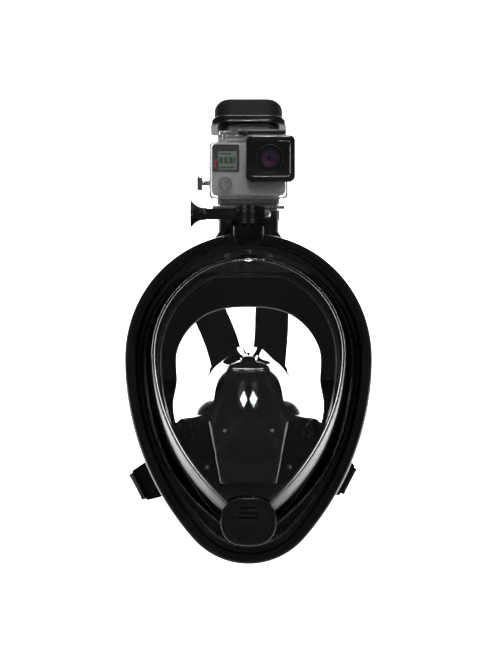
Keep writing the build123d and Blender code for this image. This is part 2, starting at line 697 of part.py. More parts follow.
with BuildPart() as camera_fork:
    for x in FORK_X:
        add(across(x - FINGER / 2, x + FINGER / 2, finger(-11), TILT_Y, TILT_Z))
    with BuildSketch(Plane.XY.offset(92.5)):
        with Locations((0, -54.5)):
            RectangleRounded(24, 19, 4)
    extrude(amount=13)
    chamfer(camera_fork.faces().filter_by(Axis.Z).group_by(Axis.Z)[-2].edges(), length=1.5)
    add(across(BOSS_X[0] - 0.2, BOSS_X[1], disc(BOSS_R, BOLT_BORE_R), TILT_Y, TILT_Z))
    with BuildSketch(Plane.YZ.offset(BOSS_X[0] + 1.2)):
        with Locations((TILT_Y, TILT_Z)):
            RegularPolygon(NUT_R + 0.1, 6)
    extrude(amount=6, mode=Mode.SUBTRACT)
    add(band(-GAP, None, 100, BEZEL_R + GAP), mode=Mode.SUBTRACT)
write(camera_fork.part, "camera_fork")

with BuildPart() as captive_nut:
    with BuildSketch(Plane.YZ.offset(BOSS_X[0] + 1.3)):
        with Locations((TILT_Y, TILT_Z)):
            RegularPolygon(NUT_R, 6)
    extrude(amount=BOSS_X[1] - BOSS_X[0] - 0.5)
    with BuildSketch(Plane.YZ.offset(BOSS_X[1] - 0.2)):
        with Locations((TILT_Y, TILT_Z)):
            Circle(3.4)
    extrude(amount=4.6)
    fillet(captive_nut.faces().sort_by(Axis.X)[-1].edges(), radius=2.8)
    add(across(0, 14, disc(BOLT_BORE_R), TILT_Y, TILT_Z), mode=Mode.SUBTRACT)
write(captive_nut.part, "captive_nut")

with BuildPart() as thumb_screw:
    with BuildSketch(Plane(origin=(0, TILT_Y, TILT_Z), x_dir=(1, 0, 0), z_dir=(0, -1, 0))):
        with BuildLine():
            flare = Spline([(KNOB_X[1], NECK_R), (-41, 6.6), (-45, KNOB_R)])
            Polyline(flare @ 1, (KNOB_X[0], KNOB_R), (KNOB_X[0], 0), (12.5, 0), (12.5, BOLT_R))
            Polyline((12.5, BOLT_R), (-9.3, BOLT_R), (-9.3, SHANK_R + 1.5), (-11, SHANK_R + 1.5))
            Polyline((-11, SHANK_R + 1.5), (-11, SHANK_R), (-33, SHANK_R), flare @ 0)
        make_face()
    revolve(axis=Axis((0, TILT_Y, TILT_Z), (1, 0, 0)), revolution_arc=360)
    with BuildSketch(Plane.YZ.offset(KNOB_X[0] - 1)):
        with Locations((TILT_Y, TILT_Z)):
            with PolarLocations(KNOB_R + 0.9, FLUTES):
                Circle(2.2)
    extrude(amount=10, mode=Mode.SUBTRACT)
write(thumb_screw.part, "thumb_screw")

# =========================================================================== 5. camera housing
BUTTON_PIN_R, BUTTON_BORE_R = 2.0, 2.06
FRONT_BUTTON = (-18.5, 139.0)
TOP_BUTTON = (-19.0, -59.0)
SIDE_BUTTON = (-59.0, 140.0)
WINDOW_SIZE = (31.0, 28.0)


def housing_box(inset, y_front, y_back):
    """Rounded box of the camera housing, drawn in by inset, between two stations in y."""
    bottom, top = HOUSING_Z
    with BuildPart() as box:
        with BuildSketch(Plane.XZ.offset(-y_back)):
            with Locations((0, (bottom + top) / 2)):
                RectangleRounded(
                    2 * (HOUSING_X - inset),
                    top - bottom - 2 * inset,
                    HOUSING_CORNER - inset,
                )
        extrude(amount=y_back - y_front)
    return box.part


def plate_y(wide, high, corner, centre, y_front, y_back):
    """Rounded plate across the view, between two stations in y."""
    with BuildPart() as plate:
        with BuildSketch(Plane.XZ.offset(-y_back)):
            with Locations(centre):
                RectangleRounded(wide, high, corner)
        extrude(amount=y_back - y_front)
    return plate.part


with BuildPart() as housing_shell:
    add(housing_box(0, *HOUSING_Y))
    add(housing_box(HOUSING_WALL, HOUSING_Y[0] + HOUSING_WALL, HOUSING_Y[1]), mode=Mode.SUBTRACT)
    add(plate_y(*WINDOW_SIZE, 2, PORT_CENTRE, -80, -70), mode=Mode.SUBTRACT)
    for x in HOUSING_FINGER_X:
        add(across(x - FINGER / 2, x + FINGER / 2, finger(10), TILT_Y, TILT_Z))
    for x in (-26, 26):  # ears for the door's hinge pin
        add(across(x - 3, x + 3, disc(HINGE_R), HINGE_Y, HINGE_Z))
        with BuildSketch(Plane.YZ.offset(x - 3)):
            with Locations((-46.5, HINGE_Z + 1.2)):
                Rectangle(6.5, 2.8)
        extrude(amount=6)
    add(across(-40, 40, disc(HINGE_PIN_R + 0.05), HINGE_Y, HINGE_Z), mode=Mode.SUBTRACT)
    add(along_y(BUTTON_BORE_R, -80, -70, [FRONT_BUTTON]), mode=Mode.SUBTRACT)
    with BuildSketch(Plane.XY.offset(170)):
        with Locations(TOP_BUTTON):
            Circle(BUTTON_BORE_R)
    extrude(amount=12, mode=Mode.SUBTRACT)
    add(across(-40, -30, disc(BUTTON_BORE_R), *SIDE_BUTTON), mode=Mode.SUBTRACT)
write(housing_shell.part, "housing_shell")

with BuildPart() as housing_gasket:
    add(plate_y(63, 45.6, 3.6, (0, sum(HOUSING_Z) / 2), -45.4, HOUSING_Y[1] - 0.1))
    add(plate_y(60, 42.6, 3, (0, sum(HOUSING_Z) / 2), -50, -40), mode=Mode.SUBTRACT)
write(housing_gasket.part, "housing_gasket")

with BuildPart() as back_door:
    add(housing_box(0.2, *DOOR_Y))
    add(across(-22.6, 22.6, disc(HINGE_R), HINGE_Y, HINGE_Z))
    with BuildSketch(Plane.YZ.offset(-22.6)):
        with Locations((-39.6, HINGE_Z + 2.2)):
            Rectangle(2.8, 4.4)
    extrude(amount=45.2)
    add(across(-40, 40, disc(HINGE_PIN_R + 0.05), HINGE_Y, HINGE_Z), mode=Mode.SUBTRACT)
    add(plate_y(46, 26, 3, (0, 151), DOOR_Y[1] - 1.2, DOOR_Y[1] + 1), mode=Mode.SUBTRACT)
write(back_door.part, "back_door")

with BuildPart() as door_hinge_pin:
    add(across(-29, 29, disc(HINGE_PIN_R), HINGE_Y, HINGE_Z))
write(door_hinge_pin.part, "door_hinge_pin")

LATCH_AXIS = (-58.0, 180.0)
LEVER_X = (-8.0, 30.0)
LATCH_EAR_X = (-3.0, 25.0)

with BuildPart() as latch_ears:
    for x in LATCH_EAR_X:
        add(across(x - 2, x + 2, disc(2.6), *LATCH_AXIS))
        with BuildSketch(Plane.YZ.offset(x - 2)):
            with Locations((LATCH_AXIS[0], HOUSING_Z[1] + 0.1)):
                Rectangle(5.2, 2.9, align=(Align.CENTER, Align.MIN))
                Rectangle(12, 1.4, align=(Align.CENTER, Align.MIN))
        extrude(amount=4)
    add(across(-20, 40, disc(1.25), *LATCH_AXIS), mode=Mode.SUBTRACT)
write(latch_ears.part, "latch_ears")

with BuildPart() as door_latch:
    with BuildSketch(Plane.YZ.offset(LEVER_X[0])):
        with BuildLine():
            Polyline(
                (-60.8, 178.6), (-60.8, 181.6), (-58, 182.8), (-40, 182.4), (-36.6, 180.2),
                (-36.6, 177.4), (-41.5, 177.4), (-42.5, 178.6),
                close=True,
            )
        make_face()
    extrude(amount=LEVER_X[1] - LEVER_X[0])
    for x in LATCH_EAR_X:
        add(across(x - 2.2, x + 2.2, disc(3.3), *LATCH_AXIS), mode=Mode.SUBTRACT)
    add(across(LATCH_EAR_X[0] - 3, LATCH_EAR_X[1] + 3, disc(1.2), *LATCH_AXIS))
write(door_latch.part, "door_latch")

with BuildPart() as lens_port_frame:
    add(plate_y(*PORT_SIZE, 4.5, PORT_CENTRE, PORT_FRONT, HOUSING_Y[0] - 0.1))
    chamfer(lens_port_frame.faces().sort_by(Axis.Y)[0].outer_wire().edges(), length=1.0)
    add(plate_y(*WINDOW_SIZE, 2, PORT_CENTRE, -90, -70), mode=Mode.SUBTRACT)
write(lens_port_frame.part, "lens_port_frame")

with BuildPart() as port_window:
    wide, high = WINDOW_SIZE
    add(plate_y(wide - 0.1, high - 0.1, 1.9, PORT_CENTRE, -82.6, -80.8))
write(port_window.part, "port_window")

# ------------------------------------------------------------------------------- the camera
CAMERA_X, CAMERA_Z, CAMERA_Y = 29.5, (130.0, 171.0), (-71.0, -48.0)
LENS_CENTRE = (17.0, 159.0)
LENS_R, LENS_GLASS_R = 10.4, 8.7
SCREEN_CENTRE, SCREEN_SIZE = (-18.0, 159.3), (21.3, 22.0)

with BuildPart() as camera_body:
    height = CAMERA_Z[1] - CAMERA_Z[0]
    add(plate_y(2 * CAMERA_X, height, 4, (0, sum(CAMERA_Z) / 2), *CAMERA_Y))
    fillet(camera_body.faces().filter_by(Axis.Y).edges(), radius=1.2)
write(camera_body.part, "camera_body")

with BuildPart() as lens_barrel:
    add(along_y(LENS_R, -79.2, CAMERA_Y[0] - 0.05, [LENS_CENTRE]))
    add(along_y(LENS_GLASS_R + 0.1, -82, -77, [LENS_CENTRE]), mode=Mode.SUBTRACT)
write(lens_barrel.part, "lens_barrel")

with BuildPart() as lens_glass:
    add(along_y(LENS_GLASS_R, -79.6, -77.1, [LENS_CENTRE]))
    fillet(lens_glass.faces().sort_by(Axis.Y)[0].edges(), radius=1.2)
write(lens_glass.part, "lens_glass")

with BuildPart() as camera_screen:
    add(plate_y(*SCREEN_SIZE, 1.5, SCREEN_CENTRE, CAMERA_Y[0] - 0.7, CAMERA_Y[0] - 0.05))
write(camera_screen.part, "camera_screen")

with BuildPart() as power_button:
    add(along_y(5.6, -79.0, -77.7, [FRONT_BUTTON]))
    add(along_y(BUTTON_PIN_R, -78.0, -72.7, [FRONT_BUTTON]))
write(power_button.part, "power_button")

with BuildPart() as shutter_button:
    for radius, start, end in ((4.4, 178.7, 181.2), (BUTTON_PIN_R, 172.7, 179)):
        with BuildSketch(Plane.XY.offset(start)):
            with Locations(TOP_BUTTON):
                Circle(radius)
        extrude(amount=end - start)
    fillet(shutter_button.faces().sort_by(Axis.Z)[-1].edges(), radius=0.8)
write(shutter_button.part, "shutter_button")

with BuildPart() as side_button:
    with BuildSketch(Plane.YZ.offset(-41)):
        with Locations(SIDE_BUTTON):
            RectangleRounded(8, 12, 2)
    extrude(amount=4.3)
    add(across(-38, -31.2, disc(BUTTON_PIN_R), *SIDE_BUTTON))
write(side_button.part, "side_button")

# =========================================================================== 6. head strap
STRAP_THICK, UPPER_WIDE, LOWER_WIDE = 2.5, 28.0, 25.0
STRAP_STEPS = 14  # lengths an upper strap is made of
PAD_Y, PAD_THICK = 92.6, 4.0
STRAP_BACK_Y = 90.9  # middle of the strap where it lies on the pad
ANCHOR = (60.0, -18.5, 71.0)
SLOT_TOWARD = (13.0, 0.0)  # (x, z) that the right anchor's slot faces
UPPER_PATH = {  # points of each upper strap behind its anchor; the left one lies further out
    "right": [(56, 30, 76), (39, 76, 70), (22, 90.9, 50), (19, 90.9, 18), (16.5, 90.9, -12)],
    "left": [(59, 30, 72), (50, 76, 65), (36.5, 90.9, 44), (23, 90.9, 14), (15.5, 90.9, -12)],
}
LOWER_END = (18.0, -45.0)
PIN_POINT = (73.7, -13.0, -96.6)  # pin of the right side clip
FRAME_OUT = (0.89, 0.0, -0.455)  # straight out of the frame's edge beside that pin
CLIP_LONG, CLIP_WIDE, CLIP_THICK, CLIP_BARREL_R, CLIP_PIN_R = 38.0, 31.0, 4.4, 2.6, 1.2
CLIP_SWING = {"right": 9.5, "left": 25.0}  # how far each clip stands out at rest
LOWER_START = 40.5  # the lower strap begins this far from the clip's pin
LOWER_STRAIGHT = 12.0  # and runs straight back this far


def lower_strap(start, end, straight, side):
    """Band from start (x, y, z), straight back to y = straight, then to (x, z) = end on the pad."""
    x0, y0, z0 = start
    dx, dz = end[0] - x0, end[1] - z0
    length = math.hypot(dx, dz)
    plane = Plane(
        origin=(side * x0, 0, z0),
        x_dir=(side * dx / length, 0, dz / length),
        z_dir=Vector(side * dx / length, 0, dz / length).cross(Vector(0, 1, 0)),
    )
    with BuildPart() as band_part:
        with BuildSketch(plane):
            with BuildLine():
                Polyline((0, y0), (2, straight), (length - 24, STRAP_BACK_Y), (length, STRAP_BACK_Y))
            trace(line_width=STRAP_THICK)
        extrude(amount=LOWER_WIDE / 2, both=True)
    return band_part.part


def upper_strap(points, slot_width, side):
    """Band from the anchor round to the pad, turning from the slot's width direction to its own."""
    path = [Vector(side * px, py, pz) for px, py, pz in points]
    with BuildPart() as band_part:
        with BuildLine(mode=Mode.PRIVATE):
            line = Spline(path, tangents=[(0, 1, 0), path[-1] - path[-2]])
        for i in range(STRAP_STEPS + 1):
            share = i / STRAP_STEPS
            along = line % share
            flat = Vector(along.X, 0, along.Z)
            width_dir = slot_width * (1 - share) ** 3 + Vector(0, 1, 0).cross(flat) * share
            width_dir = (width_dir - along * width_dir.dot(along)).normalized()
            with BuildSketch(Plane(origin=line @ share, x_dir=width_dir, z_dir=along)):
                Rectangle(UPPER_WIDE, STRAP_THICK)
        loft(ruled=True)
    return band_part.part


for name, side in (("right", 1), ("left", -1)):
    x, y, z = ANCHOR
    inward = Vector(side * (SLOT_TOWARD[0] - x), 0, SLOT_TOWARD[1] - z)
    with BuildPart() as strap_anchor:
        with BuildSketch(Plane(origin=(side * x, y, z), x_dir=inward, z_dir=(0, 1, 0))):
            RectangleRounded(9, UPPER_WIDE + 8, 3)
        extrude(amount=8, both=True)
        with BuildSketch(Plane(origin=(side * x, y + 3.6, z), x_dir=inward, z_dir=(0, 1, 0))):
            Rectangle(STRAP_THICK + 1.2, UPPER_WIDE + 2 * GAP)
        extrude(amount=20, mode=Mode.SUBTRACT)
        add(layer(20, REAR_R[0] - 0.05), mode=Mode.INTERSECT)
        add(skirt_body(-GAP), mode=Mode.SUBTRACT)
    write(strap_anchor.part, f"strap_anchor_{name}")
    slot_width = Vector(0, 1, 0).cross(inward).normalized()
    points = [(x, y + 4, z), (x, y + 12, z)] + UPPER_PATH[name]
    write(upper_strap(points, slot_width, side), f"upper_strap_{name}")

with BuildPart() as strap_pad:
    with BuildSketch(Plane.XZ.offset(-PAD_Y - PAD_THICK)) as pad_outline:
        Polygon((-28, 6), (28, 6), (38, -20), (34, -64), (-34, -64), (-38, -20), align=None)
        fillet(pad_outline.vertices(), radius=9)
    extrude(amount=PAD_THICK)
    fillet(strap_pad.faces().sort_by(Axis.Y)[-1].edges(), radius=1.5)
write(strap_pad.part, "strap_pad")


def clip_frame(side, swing, shift=0.0):
    """Local plane of a side clip: x along the pin, y along the clip's length, z out of its face."""
    px, py, pz = PIN_POINT
    nx, _, nz = FRAME_OUT
    lean = math.radians(swing)
    along = Vector(side * nx * math.sin(lean), math.cos(lean), nz * math.sin(lean))
    face = Vector(side * nx * math.cos(lean), -math.sin(lean), nz * math.cos(lean))
    plane = Plane(origin=(side * px, py, pz), x_dir=along.cross(face), z_dir=face)
    return plane.offset(shift)


def clip_pin(side, radius, half):
    """Round bar of a side clip's pin."""
    plane = clip_frame(side, 0)
    with BuildPart() as bar:
        with BuildSketch(Plane(origin=plane.origin, x_dir=plane.y_dir, z_dir=plane.x_dir)):
            Circle(radius)
        extrude(amount=half, both=True)
    return bar.part


KNUCKLE_HALF = 10.8
BRACKET_HALF = 15.0

for name, side in (("right", 1), ("left", -1)):
    with BuildPart() as clip_bracket:
        with BuildSketch(clip_frame(side, 0, -4.2)):
            with Locations((0, -4.8)):
                Rectangle(2 * BRACKET_HALF, 4)
            for end in (1, -1):
                with Locations((end * (BRACKET_HALF + KNUCKLE_HALF + 0.2) / 2, -2)):
                    Rectangle(BRACKET_HALF - KNUCKLE_HALF - 0.2, 9)
        extrude(amount=6.8)
        add(layer(20, REAR_R[0] - 0.05), mode=Mode.INTERSECT)
        add(skirt_body(-GAP), mode=Mode.SUBTRACT)
        add(clip_pin(side, CLIP_PIN_R + 0.02, 30), mode=Mode.SUBTRACT)
        add(along_y(SCREW_HEAD_R + GAP, -40, 0, SCREW_POINTS), mode=Mode.SUBTRACT)
    write(clip_bracket.part, f"clip_bracket_{name}")

    with BuildPart() as pin:
        add(clip_pin(side, CLIP_PIN_R, BRACKET_HALF + 0.6))
    write(pin.part, f"clip_pin_{name}")

    swing = CLIP_SWING[name]
    with BuildPart() as side_clip:
        add(clip_pin(side, CLIP_BARREL_R, KNUCKLE_HALF - 0.2))
        with BuildSketch(clip_frame(side, swing, -CLIP_THICK / 2)) as clip_outline:
            with BuildLine():
                Polyline(
                    (-10.4, 0), (-10.4, 3.6), (-CLIP_WIDE / 2, 8), (-CLIP_WIDE / 2 + 2, CLIP_LONG),
                    (CLIP_WIDE / 2 - 2, CLIP_LONG), (CLIP_WIDE / 2, 8), (10.4, 3.6), (10.4, 0),
                    close=True,
                )
            make_face()
            fillet(clip_outline.vertices().filter_by(lambda v: abs(v.X) > 0).group_by(Axis.Y)[-1],
                   radius=4)
        extrude(amount=CLIP_THICK)
        with BuildSketch(clip_frame(side, swing, -5)):
            with Locations((0, CLIP_LONG - 6)):
                SlotOverall(LOWER_WIDE - 0.5, 4.6)
        extrude(amount=10, mode=Mode.SUBTRACT)
        add(clip_pin(side, CLIP_PIN_R + 0.06, 20), mode=Mode.SUBTRACT)
    write(side_clip.part, f"side_clip_{name}")

    start = clip_frame(side, swing).from_local_coords(Vector(0, LOWER_START, 0))
    begin = (side * start.X, start.Y, start.Z)
    straight = start.Y + LOWER_STRAIGHT
    write(lower_strap(begin, LOWER_END, straight, side), f"lower_strap_{name}")

    dx, dz = LOWER_END[0] - begin[0], LOWER_END[1] - begin[2]
    run = Vector(math.hypot(dx, dz) - 26, STRAP_BACK_Y - straight, 0)
    across_x = Vector(side * dx, 0, dz).normalized()
    forward = (across_x * run.X + Vector(0, run.Y, 0)).normalized()
    middle = Vector(side * begin[0], 0, begin[2]) + across_x * (2 + run.X * 0.4)
    middle = middle + Vector(0, straight + run.Y * 0.4, 0)
    width_dir = across_x.cross(Vector(0, 1, 0))
    with BuildPart() as strap_slider:
        with BuildSketch(Plane(origin=middle, x_dir=width_dir, z_dir=forward)):
            RectangleRounded(LOWER_WIDE + 6, STRAP_THICK + 5, 2)
            Rectangle(LOWER_WIDE + 0.6, STRAP_THICK + 0.6, mode=Mode.SUBTRACT)
        extrude(amount=7, both=True)
    write(strap_slider.part, f"strap_slider_{name}")
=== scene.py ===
"""Full face snorkel mask with a fitted action camera: its looks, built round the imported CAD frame.

The object's lengths are millimetres in the CAD's frame (+X right, +Y towards the head, +Z up) until
a mesh is made, where they become metres. The stage, lights and camera are in metres throughout.
Mask outlines are the same egg of four arcs as the CAD's.
"""

import math

import bmesh
import bpy
import numpy as np
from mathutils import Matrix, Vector


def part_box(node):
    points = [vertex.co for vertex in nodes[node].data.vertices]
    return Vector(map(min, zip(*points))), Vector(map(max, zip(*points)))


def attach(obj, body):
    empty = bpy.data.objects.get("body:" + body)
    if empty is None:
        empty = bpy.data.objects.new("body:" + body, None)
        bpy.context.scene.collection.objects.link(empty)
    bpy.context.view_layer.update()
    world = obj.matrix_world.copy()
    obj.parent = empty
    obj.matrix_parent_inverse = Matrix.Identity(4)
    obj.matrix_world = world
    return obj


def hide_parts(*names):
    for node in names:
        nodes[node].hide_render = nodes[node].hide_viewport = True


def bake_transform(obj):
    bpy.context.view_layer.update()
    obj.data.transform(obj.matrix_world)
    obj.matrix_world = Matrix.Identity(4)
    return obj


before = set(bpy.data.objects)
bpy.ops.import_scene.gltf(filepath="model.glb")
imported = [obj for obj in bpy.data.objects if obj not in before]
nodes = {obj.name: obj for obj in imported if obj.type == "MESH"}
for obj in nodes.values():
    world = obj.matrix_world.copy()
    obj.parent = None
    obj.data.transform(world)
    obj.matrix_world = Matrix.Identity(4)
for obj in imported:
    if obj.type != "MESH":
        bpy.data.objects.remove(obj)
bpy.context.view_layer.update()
MM = 0.001  # metres

# ---------- mask outline
def egg_measures(half_width, chin_drop, chin_r):
    """Drop of the chin arc's centre, the side arcs' radius and centre, and the angle they turn."""
    chin_c = chin_drop - chin_r
    side_r = (chin_c**2 + half_width**2 - chin_r**2) / (2 * (half_width - chin_r))
    side_c = side_r - half_width
    return chin_c, side_r, side_c, math.atan2(chin_c, side_c)


HALF_WIDTH, CHIN_DROP, CHIN_R = 100.0, 164.0, 60.0
_, SIDE_R, _, TANGENT = egg_measures(HALF_WIDTH, CHIN_DROP, CHIN_R)
HEAD_AXIS_Y = 110.0
AROUND = 240  # points round the mask


def outline_angles(count):
    """Directions of the outline's normal, spaced evenly along the egg."""
    spans = [
        (0, math.pi, HALF_WIDTH),
        (math.pi, math.pi + TANGENT, SIDE_R),
        (math.pi + TANGENT, 2 * math.pi - TANGENT, CHIN_R),
        (2 * math.pi - TANGENT, 2 * math.pi, SIDE_R),
    ]
    lengths = [(end - start) * radius for start, end, radius in spans]
    marks = np.concatenate([[0], np.cumsum(lengths)])
    edges = [spans[0][0]] + [end for _, end, _ in spans]
    steps = np.arange(count) * marks[-1] / count
    return np.interp(steps, marks, edges)


NORMALS = outline_angles(AROUND)


def any_egg(half_width, chin_drop, chin_r, inset=0.0):
    """(x, z) of an egg drawn in by inset, which may be one number or one for each point.

    All eggs have the same share of their points on each arc as the mask's outline.
    """
    chin_c, side_r, side_c, turn = egg_measures(half_width, chin_drop, chin_r)
    old_marks = [0, math.pi, math.pi + TANGENT, 2 * math.pi - TANGENT, 2 * math.pi]
    new_marks = [0, math.pi, math.pi + turn, 2 * math.pi - turn, 2 * math.pi]
    angle = np.interp(NORMALS, old_marks, new_marks)
    arc = np.clip(np.searchsorted(old_marks, NORMALS, side="left") - 1, 0, 3)
    centre_x = np.array([0, side_c, 0, -side_c])[arc]
    centre_z = np.array([0, 0, -chin_c, 0])[arc]
    reach = np.array([half_width, side_r, chin_r, side_r])[arc] - inset
    return np.stack([centre_x + reach * np.cos(angle), centre_z + reach * np.sin(angle)], axis=1)


def egg(inset):
    """(x, z) of the mask's outline drawn in by inset."""
    return any_egg(HALF_WIDTH, CHIN_DROP, CHIN_R, inset)


def layer_y(x, radius):
    """y of the upright layer of that radius round the head axis."""
    return HEAD_AXIS_Y - np.sqrt(radius**2 - np.asarray(x) ** 2)


def ring(points, y):
    """(n, 3) ring from (x, z) points and their y."""
    y = np.broadcast_to(np.asarray(y, float), (len(points),))
    return np.stack([points[:, 0], y, points[:, 1]], axis=1)


def wrapped(inset, radius):
    """Ring of the egg lying on one layer."""
    points = egg(inset)
    return ring(points, layer_y(points[:, 0], radius))


def wrapped_rings(section):
    """Rings of the egg, one for each (inset, layer radius) of a section."""
    return [wrapped(inset, radius) for inset, radius in section]


def bent(low, corner, high, steps):
    """Rings that round a corner: curves from low to high, drawn towards corner."""
    rings = []
    for t in np.linspace(0, 1, steps + 1)[1:]:
        rings.append((1 - t) ** 2 * low + 2 * t * (1 - t) * corner + t**2 * high)
    return rings


def between(start, end, shares):
    """Points at the given shares of the way from start to end, one set for each share."""
    return [start + (end - start) * share for share in shares]


def smooth_step(t):
    """0 to 1 with level ends."""
    t = np.clip(t, 0, 1)
    return t * t * (3 - 2 * t)


def soft_min(a, b, width):
    """The smaller of two values, with a rounded change between them."""
    h = np.clip(0.5 + 0.5 * (b - a) / width, 0, 1)
    return b * (1 - h) + a * h - width * h * (1 - h)


def curve_through(xs, ys, at):
    """Smooth curve through points (xs rising), read at the given places."""
    xs, ys = np.asarray(xs, float), np.asarray(ys, float)
    slopes = np.gradient(ys, xs)
    at = np.clip(at, xs[0], xs[-1])
    i = np.clip(np.searchsorted(xs, at) - 1, 0, len(xs) - 2)
    span = xs[i + 1] - xs[i]
    t = (at - xs[i]) / span
    a = (2 * t**3 - 3 * t**2 + 1) * ys[i] + (t**3 - 2 * t**2 + t) * span * slopes[i]
    b = (-2 * t**3 + 3 * t**2) * ys[i + 1] + (t**3 - t**2) * span * slopes[i + 1]
    return a + b


# ---------- mesh helpers
def mesh_object(name, points, faces, material, body, stands_for, sharp=None):
    """Mesh object from millimetre points, its faces outwards, riding on a CAD body if named.

    It is shaded smooth, except across edges of more than sharp degrees.
    """
    mesh = bpy.data.meshes.new(name)
    mesh.from_pydata([tuple(p) for p in np.asarray(points) * MM], [], faces)
    mesh.validate()
    mesh.materials.append(material)
    mesh.shade_smooth()
    obj = bpy.data.objects.new(name, mesh)
    bpy.context.scene.collection.objects.link(obj)
    if body:
        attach(obj, body)
    if stands_for:
        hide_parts(*stands_for)
    fix_normals(obj)
    if sharp:
        mesh.set_sharp_from_angle(angle=math.radians(sharp))
    return obj


def loft(rings, close_loop=False, caps=False):
    """Points and quads through closed rings of equal length. caps closes both ends with fans."""
    count = len(rings[0])
    points = [p for r in rings for p in r]
    faces = []
    turns = len(rings) if close_loop else len(rings) - 1
    for j in range(turns):
        a, b = j * count, ((j + 1) % len(rings)) * count
        for i in range(count):
            k = (i + 1) % count
            faces.append((a + i, a + k, b + k, b + i))
    if caps:
        for start, order in ((0, -1), ((len(rings) - 1) * count, 1)):
            middle = np.mean(rings[0 if start == 0 else -1], axis=0)
            points.append(middle)
            tip = len(points) - 1
            for i in range(count):
                k = (i + 1) % count
                face = (start + i, start + k, tip)
                faces.append(face if order == 1 else face[::-1])
    return points, faces


def close_with_fan(points, faces, count, middle, surface_y):
    """Close the last ring, of count points, with a fan to the surface's point at middle (x, z)."""
    last = len(points) - count
    middle = middle[None, :]
    points.append(ring(middle, surface_y(middle))[0])
    faces += [(last + i, last + (i + 1) % count, len(points) - 1) for i in range(count)]


def fix_normals(obj):
    """Point all faces outwards."""
    work = bmesh.new()
    work.from_mesh(obj.data)
    bmesh.ops.recalc_face_normals(work, faces=work.faces)
    work.to_mesh(obj.data)
    work.free()


def add_modifier(obj, kind, **values):
    """Add a modifier and set its values."""
    modifier = obj.modifiers.new(kind.lower(), kind)
    for key, value in values.items():
        setattr(modifier, key, value)
    return modifier


# ---------- materials
ACRYLIC_IOR = 1.49
COAT_ROUGH = 0.04
GRAIN_DEPTH = 0.0002  # metres, as the other bump depths


def new_material(name):
    """Material with its node tree emptied, its output and a Principled shader."""
    material = bpy.data.materials.new(name)
    material.use_nodes = True
    tree = material.node_tree
    tree.nodes.clear()
    output = tree.nodes.new("ShaderNodeOutputMaterial")
    shader = tree.nodes.new("ShaderNodeBsdfPrincipled")
    tree.links.new(shader.outputs[0], output.inputs["Surface"])
    return material, tree, shader


def plug(tree, node, inputs):
    """Fill a node's inputs: an output is linked, and a number or three of them is set."""
    for name, value in inputs.items():
        socket = node.inputs[name]
        if isinstance(value, bpy.types.NodeSocket):
            tree.links.new(value, socket)
        elif socket.type == "RGBA":
            socket.default_value = (*value, 1)
        else:
            socket.default_value = value


def add_node(tree, kind, inputs, **settings):
    """New node with its settings made and its inputs filled."""
    node = tree.nodes.new(kind)
    for name, value in settings.items():
        setattr(node, name, value)
    plug(tree, node, inputs)
    return node


def coordinates(tree, kind="Object"):
    """The object's own coordinates, or its UV map's."""
    return tree.nodes.new("ShaderNodeTexCoord").outputs[kind]


def axes_of_place(tree):
    """X, Y and Z of the object's own coordinates."""
    return add_node(tree, "ShaderNodeSeparateXYZ", {"Vector": coordinates(tree)}).outputs


def add_noise(tree, scale, detail):
    """Noise in the object's own coordinates."""
    inputs = {"Vector": coordinates(tree), "Scale": scale, "Detail": detail}
    return add_node(tree, "ShaderNodeTexNoise", inputs).outputs["Fac"]


def calculate(tree, operation, first, second):
    """Result of a sum on two values."""
    inputs = {0: first, 1: second}
    return add_node(tree, "ShaderNodeMath", inputs, operation=operation).outputs["Value"]


def map_range(tree, value, low, high, from_low=0.3, from_high=0.7):
    """Stretch a value to run from low to high; noise keeps within the usual from_low, from_high."""
    inputs = {"Value": value, "From Min": from_low, "From Max": from_high, "To Min": low,
              "To Max": high}
    return add_node(tree, "ShaderNodeMapRange", inputs).outputs["Result"]


def colour_ramp(tree, value, stops):
    """Colour from a value, by (place, colour) stops."""
    node = add_node(tree, "ShaderNodeValToRGB", {"Fac": value})
    elements = node.color_ramp.elements
    while len(elements) < len(stops):
        elements.new(0.5)
    for element, (place, colour) in zip(elements, stops):
        element.position = place
        element.color = (*colour, 1)
    return node.outputs["Color"]


def mottle(tree, noise, first, second):
    """Two colours in patches."""
    return colour_ramp(tree, noise, [(0.35, first), (0.65, second)])


def mix_by(tree, share, under, over):
    """Mix of two colours: share 0 is under and 1 is over."""
    inputs = {"Factor": share, "A": under, "B": over}
    return add_node(tree, "ShaderNodeMix", inputs, data_type="RGBA").outputs["Result"]


def add_bump(tree, shader, height, strength, distance):
    """Bump from a height value, onto a shader."""
    inputs = {"Height": height, "Strength": strength, "Distance": distance}
    bump = add_node(tree, "ShaderNodeBump", inputs)
    plug(tree, shader, {"Normal": bump.outputs["Normal"]})


def moulded(name, dark, light, rough, grain_scale, grain, coat=0.0, metallic=0.0, ior=1.5,
            shine=0.5):
    """Moulded plastic, rubber or metal: mottled colour, uneven gloss and a fine grain."""
    material, tree, shader = new_material(name)
    patches = add_noise(tree, 45.0, 5.0)
    plug(tree, shader, {
        "Base Color": mottle(tree, patches, dark, light),
        "Roughness": map_range(tree, patches, *rough),
        "Metallic": metallic,
        "IOR": ior,
        "Specular IOR Level": shine,
        "Coat Weight": coat,
        "Coat Roughness": COAT_ROUGH,
    })
    add_bump(tree, shader, add_noise(tree, grain_scale, 2.0), grain, GRAIN_DEPTH)
    return material


